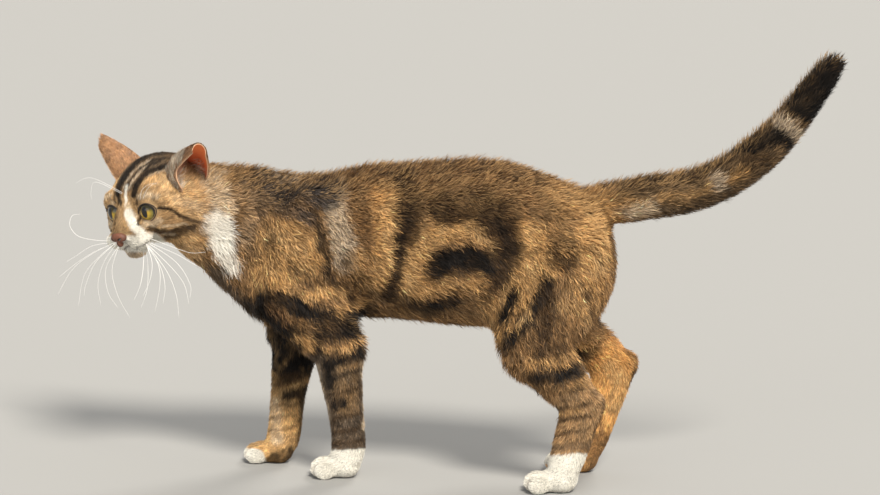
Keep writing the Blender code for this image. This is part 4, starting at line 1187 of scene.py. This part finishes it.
def blades(roots, base, seed, curl, stray=0.05, ticking=0.30, fairness=0.16):
    """Tufts as tapering ribbons: points, triangles, colours, and each corner's place in its patch."""
    rng = np.random.default_rng(seed)
    count = len(roots["points"])
    normals, flow, outline = roots["normals"], roots["flow"], roots["outline"]
    depth, length, width = roots["values"].T[:3]
    long = ramp(length, 4.5, 9.5)
    steps = 3 if length.mean() > LONG_TUFT else 2

    # The way each tuft points, its length, and how high its tip stands over the skin
    clump = noise(outline, 12, seed) * 0.45 + noise(outline, 4.5, seed + 3) * 0.38
    angle = clump * (0.5 + 0.5 * long) + rng.normal(0, 1, count) * (0.15 + 0.08 * long)
    across = np.cross(normals, flow)
    way = flow * np.cos(angle)[:, None] + across * np.sin(angle)[:, None]
    length = length * rng.uniform(*LENGTH_SPREAD, count) * (1 + 0.20 * noise(outline, 11, seed + 9))
    reach = (depth + ROOT_DEPTH) * rng.uniform(*REACH_SPREAD, count)
    reach = reach * (1 + 0.16 * noise(outline, 4.5, seed + 6))
    loose = rng.random(count) < stray
    reach = np.where(loose, reach * rng.uniform(*LOOSE_SPREAD, count), reach)
    raised = (rng.random(count) < RAISED_SHARE) * ramp(normals[:, 2], 0.30, 0.75) * long
    reach = reach * (1 + 0.95 * raised * rng.uniform(*RAISED_SPREAD, count))
    slope = np.clip(reach / length, 0.05, 0.80)
    across = np.cross(normals, way)
    spin = rng.normal(0, 0.5, count)
    flat = across * np.cos(spin)[:, None] + normals * np.sin(spin)[:, None]
    bend = rng.normal(0, 1, (count, steps + 1)) * curl * (length / 14)[:, None]
    bend[:, 0] = 0
    rise = np.cumsum(np.linspace(1.35, 0.65, steps))
    rise = np.concatenate([[0], rise / rise[-1]])
    width = width * rng.uniform(*WIDTH_SPREAD, count)
    taper = TAPER[steps]

    # How light and warm each tuft is. White hair varies less, and some other tufts have dark or fair tips
    pale = ramp(base.mean(axis=1), PALE_FROM, PALE_TO)
    lumps = 0.34 * noise(outline, 2.8, seed + 4) + 0.24 * noise(outline, 6.5, seed + 7)
    lightness = np.exp(rng.normal(0, 0.26, count)) * (1 + lumps)
    lightness = lightness * (1 - pale) + (1 + 0.10 * lumps + rng.normal(0, 0.05, count)) * pale
    ticked = (rng.random(count) < ticking) * (1 - pale)
    fair = (rng.random(count) < fairness) * (1 - pale) * (1 - ticked)
    warmth = rng.normal(0, 0.06, count) + 0.06 * noise(outline, 14, seed + 8)
    base = base * (1 + warmth[:, None] * np.array(WARMER) * (1 - pale[:, None]))
    glow = 0.9 * (1 - ramp(base.mean(axis=1, keepdims=True), 0.15, 0.5))

    rows, tints, patch = [], [], []
    for k in range(steps + 1):
        t = k / steps
        spot = (roots["points"] - normals * ROOT_DEPTH + way * (length * t * np.sqrt(1 - slope**2))[:, None]
                + normals * (length * slope * rise[k])[:, None] + across * bend[:, k : k + 1])
        # Each tuft runs from darker at its root to lighter at its tip: painted shade deep in the coat
        tone = (0.62 + 0.50 * t) * lightness * (1 - pale) + (0.88 + 0.14 * t) * lightness * pale
        tint = base * tone[:, None]
        if t > 0.5:
            tint = tint * (1 - 0.62 * ticked[:, None]) * (1 + glow * fair[:, None])
            tint = tint * (1 - 0.6 * raised[:, None]) + np.array(COLOURS["gold"]) * 0.55 * raised[:, None]
        half = flat * (width * taper[k] / 2)[:, None]
        for sign in (-1, 1) if k < steps else (0,):
            rows.append(spot + half * sign)
            tints.append(tint)
            patch.append((0.5 + 0.5 * sign, t))
    corners = len(rows)
    points = np.stack(rows, axis=1).reshape(-1, 3)
    points[:, 2] = np.maximum(points[:, 2], LOWEST_HAIR)
    faces = []
    for a in range(0, 2 * steps - 2, 2):
        faces += [(a, a + 1, a + 3), (a, a + 3, a + 2)]
    faces.append((corners - 3, corners - 2, corners - 1))
    triangles = (np.arange(count)[:, None, None] * corners + np.array(faces)[None]).reshape(-1, 3)
    return points, triangles, np.stack(tints, axis=1).reshape(-1, 3), np.tile(patch, (count, 1)), corners


def long_chart(start, end):
    """Unrolls places round an axis: how far round, and how far along."""
    start, end = np.array(start, float), np.array(end, float)
    axis = unit(end - start)
    over = unit(np.cross(axis, (0, 1, 0)))
    beside = np.cross(axis, over)

    def chart(points):
        away = points - start
        round_it = np.arctan2(away @ beside, away @ over) / (2 * math.pi) + 0.5
        return np.stack([round_it, away @ axis / lengths(end - start)], axis=1)

    return chart


def round_chart(centre):
    """Unfolds places round a centre from an octahedron onto a square."""

    def chart(points):
        way = points - np.array(centre, float)
        way = way / np.maximum(np.abs(way).sum(axis=1, keepdims=True), 1e-9)
        folded = np.where(way[:, :2] >= 0, 1, -1) * (1 - np.abs(way[:, 1::-1]))
        flat = np.where(way[:, 2:] >= 0, way[:, :2], folded)
        return flat / 2 + 0.5

    return chart


def hair_piece(name, roots, base, spots, material, seed, curl, **more):
    """One piece of tufts, each a small square in the OFBake map at its root's place on the unrolled skin."""
    points, triangles, tints, patch, corners = blades(roots, base, seed, curl, **more)
    obj = piece(name, points, triangles, tints, material)
    low, high = spots.min(axis=0), spots.max(axis=0)
    room = 1 - 2 * PATCH_MARGIN - PATCH
    spots = PATCH_MARGIN + (spots - low) / np.maximum(high - low, 1e-6) * room
    uv = np.repeat(spots, corners, axis=0) + patch * PATCH
    layer = obj.data.uv_layers.new(name="OFBake")
    layer.data.foreach_set("uv", uv[triangles.ravel()].astype(np.float32).ravel())


def coat_pieces(name, roots, chart, material, seed, curl, **more):
    """Builds a group of roots as one or more pieces, each under the most triangles."""
    spots = chart(roots["outline"])
    tuft_triangles = 5 if roots["values"][:, 1].mean() > LONG_TUFT else 3
    bands = math.ceil(len(spots) * tuft_triangles / MOST_TRIANGLES)
    for band, chosen in enumerate(np.array_split(np.argsort(spots[:, 1]), bands)):
        part = kept(roots, chosen)
        base = coat_colours(part["outline"], part["normals"], part["shares"])
        title = f"coat_{name}" if bands == 1 else f"coat_{name}_{band + 1}"
        hair_piece(title, part, base, spots[chosen], material, seed + band, curl, **more)


def make_coat(skin):
    """The hair, a group of nodes at a time."""
    hair = painted_material("coat_hair")
    centre = out_of_axes(HEAD, np.array(HEAD_CENTRE))
    groups = [("head", HEAD_GROUP, round_chart(centre), HEAD_CURL)]
    for name, (start, end, curl) in LONG_GROUPS.items():
        groups.append((name, [node for node in FLESH if node.startswith(name)], long_chart(start, end), curl))
    for name, (x, y, _, _) in PAWS.items():
        groups.append((name, [name], round_chart((x, y, PAW_CENTRE_HEIGHT)), PAW_CURL))
    for index, (name, nodes, chart, curl) in enumerate(groups):
        chosen = np.isin(skin["labels"][skin["triangles"][:, 0]], nodes)
        roots = hairy(sampled(skin, chosen, SEED + index))
        more = LIMB_HAIR if name.startswith(("foreleg", "hind_foot")) else {}
        coat_pieces(name, roots, chart, hair, SEED + 40 * index, curl, **more)


def ear_pose(side):
    sign = -SIDES[side]
    outward, back, turn = EAR_POSE[side]
    return (HEAD @ moved((EAR_ROOT[0], EAR_ROOT[1] * sign, EAR_ROOT[2])) @ turned("X", -outward * sign)
            @ turned("Y", -back) @ turned("Z", turn * sign))


def ear_surface(side, t, lane, shift):
    """Places on an ear by shares of its height and from -1 to 1 across its width, moved outwards."""
    rise = np.maximum(t, 0)
    lane = np.where(lane > 0, lane, lane * (1 - EAR_TRIM[side] * ramp(rise, 0.15, 0.55)))
    radius = EAR_TIP_RADIUS + (EAR_BASE_RADIUS - EAR_TIP_RADIUS) * (1 - rise**2.15)
    angle = np.radians(EAR_BASE_SPREAD + (EAR_TIP_SPREAD - EAR_BASE_SPREAD) * rise**0.7) * lane
    out = radius + shift * (1 - 0.35 * rise)
    lower = 2.2 * rise * angle**2 - EAR_DROP * SIDES[side] * (1 - rise) * lane
    forward = -out * np.cos(angle) + radius * 0.1 * rise
    spots = np.stack([forward, out * np.sin(angle), EAR_HEIGHT * t - lower], axis=-1)
    return out_of_axes(ear_pose(side), spots.reshape(-1, 3)).reshape(spots.shape)


def ear_colours(t, lane, inner):
    """Bare red-orange skin inside, its own colour brightened as painted light shining through the ear, deeper
    low down and pale along the rim; thin tan hair outside.
    """
    # The inside: the ear's own skin, brightened as painted light shining through it
    colour = mixed(np.array(COLOURS["ear_low"]), COLOURS["ear_tip"], ramp(t, 0.15, 0.80))
    if not inner:
        colour = np.tile(COLOURS["ear_back"], (len(t), 1))
    rim = np.maximum(ramp(np.abs(lane), 0.93, 1.0), ramp(t, 0.965, 1.0))
    return mixed(colour, COLOURS["ear_rim"], rim * 0.8)


def ear_hair(side, kind, hair):
    """One kind of hair of an ear. The tufts grow on the outside near the front margin alone."""
    count, lowest, highest, nearest, farthest, wall, depth, length, width, colour, ticking = EAR_HAIR[kind]
    count = int(count * (1.0))
    rng = np.random.default_rng(SEED + 3)
    t = rng.uniform(lowest, highest, count)
    lane = rng.choice((-1, 1), count) * rng.uniform(nearest, farthest, count)
    if kind == "tufts":
        lane = -np.abs(lane)
    shift = EAR_WALL * wall
    at = ear_surface(side, t, lane, shift)
    out = unit(ear_surface(side, t, lane, 1.0) - ear_surface(side, t, lane, -1.0))
    flow = unit(ear_surface(side, np.clip(t + 0.03, 0, 1.03), lane, shift) - at)
    if kind == "lining":
        flow = unit(ear_surface(side, np.clip(t + 0.22, 0, 1), lane * 0.25, -5.0) - at)
        out = unit(np.cross(flow, np.cross(-out, flow)))
    values = np.tile((depth, length, width, 1.0), (count, 1)) * rng.uniform(0.7, 1.2, (count, 1))
    roots = {"points": at, "normals": out, "flow": flow, "values": values, "outline": at}
    base = np.array(colour) * rng.uniform(0.75, 1.2, (count, 1))
    spots = np.stack([lane / 2 + 0.5, t], axis=1)
    hair_piece(f"coat_ear_{side}_{kind}", roots, base, spots, hair, SEED + 5, EAR_CURL, ticking=ticking)


def make_ear(side, leather, hair):
    """A thin cup with a rounded rim, then hair outside, along the rim and across the opening."""
    rows, columns = 34, 45
    size = rows * columns
    t, lane = np.meshgrid(np.linspace(EAR_DEPTH, 1, rows), np.linspace(-1, 1, columns), indexing="ij")
    walls = [ear_surface(side, t, lane, shift).reshape(-1, 3) for shift in (EAR_WALL / 2, -EAR_WALL / 2)]
    tints = [ear_colours(t.ravel(), lane.ravel(), inner) for inner in (False, True)]
    index = np.arange(size).reshape(rows, columns)
    sheet = split_quads(index[:-1, :-1], index[:-1, 1:], index[1:, 1:], index[1:, :-1])
    rim = np.concatenate([index[:, 0], index[-1, 1:], index[-2::-1, -1], index[0, -2:0:-1]])
    following = np.roll(rim, -1)
    triangles = [sheet[:, ::-1], sheet + size, split_quads(rim, following, following + size, rim + size)]
    arrays = [np.concatenate(part) for part in (walls, triangles, tints)]
    obj = piece(f"ear_cup_{side}", *arrays, leather)
    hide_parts(f"ear_{side}")
    for kind in EAR_HAIR:
        if kind != "tufts" or side == "left":
            ear_hair(side, kind, hair)


def iris_colours(radius, angle, rise, across):
    """Black rim, gold-green iris with fibres and a lighter ring round the pupil, painted light on its lower
    part, painted shade of the upper lid over its top, and an upright pupil, by place on the eye's front.
    """
    fibres = 0.5 + 0.5 * np.sin(angle * 61 + 3 * np.sin(angle * 17)) * np.sin(angle * 23 + 1.3)
    colour = mixed(np.array(COLOURS["iris_inside"]), COLOURS["iris_outside"], ramp(radius, *IRIS))
    colour = colour * (0.72 + 0.5 * fibres)[:, None]
    # A lighter gold ring round the pupil, stronger low down: the iris's own ring with painted light on its
    # lower part
    glow = bell(radius - 3.8, 1.3) * 0.30 * (0.4 + 0.6 * ramp(-rise, -2, 4))
    colour = colour + np.array(COLOURS["iris_glow"]) * glow[:, None]
    # The top darkened: painted shade of the upper lid and brow
    colour = colour * (1 - 0.88 * ramp(rise, -0.5, 4.2))[:, None]
    colour = mixed(colour, COLOURS["iris_rim"], ramp(radius, *IRIS_RIM))
    pupil = np.hypot(across / PUPIL[0], (rise - 1.0) / PUPIL[1])
    return mixed(colour, COLOURS["pupil"], 1 - ramp(pupil, 0.88, 1.10))


def make_eye(side, wet):
    """A glossy ball with a raised cornea, painted by place round its gaze."""
    rows, columns = 90, 128
    polar, turn = np.meshgrid(np.linspace(0, math.pi, rows) ** 1.25 / math.pi**0.25,
                              np.linspace(0, 2 * math.pi, columns, endpoint=False), indexing="ij")
    radius = EYE_RADIUS + 0.75 * np.exp(-((polar / 0.55) ** 4))
    away = radius * np.sin(polar)
    local = np.stack([radius * np.cos(polar), away * np.cos(turn), away * np.sin(turn)], axis=-1)
    local = local.reshape(-1, 3)
    index = np.arange(rows * columns).reshape(rows, columns)
    following = np.roll(index, -1, axis=1)
    triangles = split_quads(index[:-1], following[:-1], following[1:], index[1:])[:, ::-1]
    # The back half, hidden in the socket, is darker: painted shade
    front = np.where(local[:, :1] > 0, 1, 0.3)
    colours = iris_colours(away.ravel(), turn.ravel(), local[:, 2], local[:, 1]) * front
    obj = piece(f"eyeball_{side}", out_of_axes(eye_matrix(side), local), triangles, colours, wet)
    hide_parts(f"eye_{side}")


def tube(paths):
    """Closed tapering tubes along rows of (points, radii)."""
    points, triangles = [], []
    count = 0
    sides = 6
    for path, radii in paths:
        tangent = unit(np.gradient(path, axis=0))
        first = unit(np.cross(tangent, (0.3, 0.2, 0.93)))
        second = np.cross(tangent, first)
        for k in range(sides):
            angle = 2 * math.pi * k / sides
            away = first * math.cos(angle) + second * math.sin(angle)
            points.append(path + away * np.array(radii)[:, None])
        rows = len(path)
        index = np.arange(sides * rows).reshape(sides, rows) + count
        following = np.roll(index, -1, axis=0)
        triangles.append(split_quads(index[:, :-1], following[:, :-1], following[:, 1:], index[:, 1:]))
        for column in (0, rows - 1):
            ring = index[:, column]
            fan = np.stack([np.full(sides - 2, ring[0]), ring[1:-1], ring[2:]], 1)
            triangles.append(fan if column else fan[:, ::-1])
        count += sides * rows
    return np.concatenate(points), np.concatenate(triangles)


def make_lid_rim(side, leather):
    """The dark bare edge of the lids, along the almond."""
    turn = np.linspace(0, 2 * math.pi, 97)
    y, z = rotated(*almond(turn, 0.1), -math.radians(EYE_TILT))
    if side == "right":
        y = -y
    x = np.sqrt(np.maximum((EYE_RADIUS + 0.5) ** 2 - y**2 - z**2, 1))
    path = out_of_axes(eye_matrix(side), np.stack([x, y, z], axis=1))
    thick = 0.52 + 0.30 * bell(np.cos(turn) + 1, 0.25) + 0.15 * np.maximum(0, np.sin(turn))
    points, triangles = tube([(path, thick)])
    piece(f"lid_rim_{side}", points, triangles, np.tile(COLOURS["lid"], (len(points), 1)), leather)


def make_nose(leather):
    """The nose leather with its nostrils and the groove between them."""
    bm = bmesh.new()
    place = np.array(NOSE_PLACE, float)
    for offset, radii in NOSE_FORMS:
        ball(bm, HEAD @ moved(place + offset), radii)
    points, triangles = arrays_of(fused("nose_leather", bm, NOSE_VOXEL))
    points = relaxed(points, edges_of(triangles), NOSE_SMOOTHING)
    normals = normals_of(points, triangles)
    local = into_axes(HEAD, points) - place
    hole = np.zeros(len(points))
    for sign in (-1, 1):
        across, rise = rotated(sign * local[:, 1] - NOSTRIL_OUT, local[:, 2] + NOSTRIL_DOWN, NOSTRIL_TILT)
        inside = np.exp(-((across / NOSTRIL_WIDTH) ** 2 + rise**2) ** 1.5)
        hole = np.maximum(hole, inside * (local[:, 0] > -1))
    groove = bell(local[:, 1], 0.5) * (local[:, 0] > 0) * ramp(-local[:, 2], -2, 1)
    points = points - normals * (hole * NOSTRIL_DEPTH + groove * 0.6)[:, None]
    tint = np.array(COLOURS["nose"]) * (1 + 0.25 * noise(points, 1.6, 3))[:, None]
    tint = mixed(tint, COLOURS["nose_edge"], ramp(np.abs(local[:, 1]), 5.2, 7.2) * 0.5)
    # Painted shade inside the nostrils and in the groove between them
    tint = mixed(tint, COLOURS["nostril"], np.clip(hole * 1.7 + groove * 0.6, 0, 1))
    obj = piece("nose_leather", points, triangles, tint, leather)
    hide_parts("nose")


def curve_through(stations, steps):
    """Catmull-Rom through rows of numbers."""
    rows = np.array(stations, float)
    padded = np.vstack([2 * rows[0] - rows[1], rows, 2 * rows[-1] - rows[-2]])
    made = []
    for i in range(1, len(padded) - 2):
        before, start, end, after = padded[i - 1 : i + 3]
        square = 2 * before - 5 * start + 4 * end - after
        cube = 3 * start - before - 3 * end + after
        for t in np.arange(steps) / steps:
            made.append(0.5 * (2 * start + (end - before) * t + square * t**2 + cube * t**3))
    return np.array([*made, rows[-1]])


def make_whiskers(skin, material):
    """Whiskers and brow hairs: each root sits on the skin where its pixel shows it."""
    tree = BVHTree.FromPolygons(skin["points"].tolist(), skin["triangles"].tolist())
    eye = TARGET + BACK * DISTANCE
    paths = []
    for group, hairs in WHISKERS.items():
        for nearer, *pixels in hairs:
            way = unit(place_at(pixels[0], 0) - eye)
            hit = tree.ray_cast(Vector(eye), Vector(way))[0]
            if hit is None:
                hit = tree.find_nearest(Vector(place_at(pixels[0], 40)))[0]
            root = np.array(hit)
            level = (root - TARGET) @ BACK
            spots = [root - BACK * 2.0, root]
            for step, pixel in enumerate(pixels[1:], 1):
                share = step / (len(pixels) - 1)
                spots.append(place_at(pixel, level + nearer * math.sin(share * math.pi / 2)))
            path = curve_through(spots, 6)
            size = 0.6 if group == "brow" else 1.0
            paths.append((path, np.linspace(*WHISKER_RADIUS, len(path)) * size))
    points, triangles = tube(paths)
    piece("whiskers", points, triangles, np.tile(COLOURS["whisker"], (len(points), 1)), material)


def make_camera():
    """The camera of the photograph's view."""
    data = bpy.data.cameras.new("photo_view")
    data.sensor_width = SENSOR
    data.lens = SENSOR * DISTANCE / (MM_PER_PIXEL * PIXELS[0])
    camera = linked("photo_view", data)
    place = to_frame(TARGET + BACK * DISTANCE)
    matrix = Matrix.Identity(4)
    for row in range(3):
        for column, value in enumerate((RIGHT[row], UP[row], BACK[row], place[row])):
            matrix[row][column] = value
    camera.matrix_world = matrix
    bpy.context.scene.camera = camera


def broad_light(name, way, strength, breadth, colour):
    """A soft light from one direction, so that the floor is lit evenly."""
    data = bpy.data.lights.new(name, "SUN")
    data.energy = strength
    data.angle = math.radians(breadth)
    data.color = colour
    light = linked(name, data)
    light.location = Vector(way) * 3
    light.rotation_euler = Vector(way).to_track_quat("Z", "Y").to_euler()


def make_stage():
    """A plain pale floor, soft light from above and in front, a little from behind, and an even surround."""
    bm = bmesh.new()
    bmesh.ops.create_grid(bm, x_segments=1, y_segments=1, size=FLOOR_SIZE)
    floor = linked("floor", mesh_from(bm, "floor"))
    made, _, _ = node_material("pale_floor", Roughness=0.9, Specular_IOR_Level=0.2,
                               Base_Color=(*FLOOR_COLOUR, 1))
    floor.data.materials.append(made)
    world = bpy.data.worlds.new("studio")
    bpy.context.scene.world = world
    world.use_nodes = True
    set_inputs(world.node_tree.nodes["Background"], Color=(*SURROUND_COLOUR, 1), Strength=WORLD_STRENGTH)
    for light in LIGHTS:
        broad_light(*light)
    bpy.context.scene.view_settings.view_transform = "Standard"


def main():
    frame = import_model()
    make_camera()
    make_stage()
    skin = make_skin(frame)
    make_coat(skin)
    leather, wet, fine_hair = (painted_material(name) for name in ("bare_skin", "wet_eye", "ear_hair"))
    for side in SIDES:
        make_ear(side, leather, fine_hair)
        make_eye(side, wet)
        make_lid_rim(side, leather)
    make_nose(leather)
    make_whiskers(skin, painted_material("whisker"))


main()
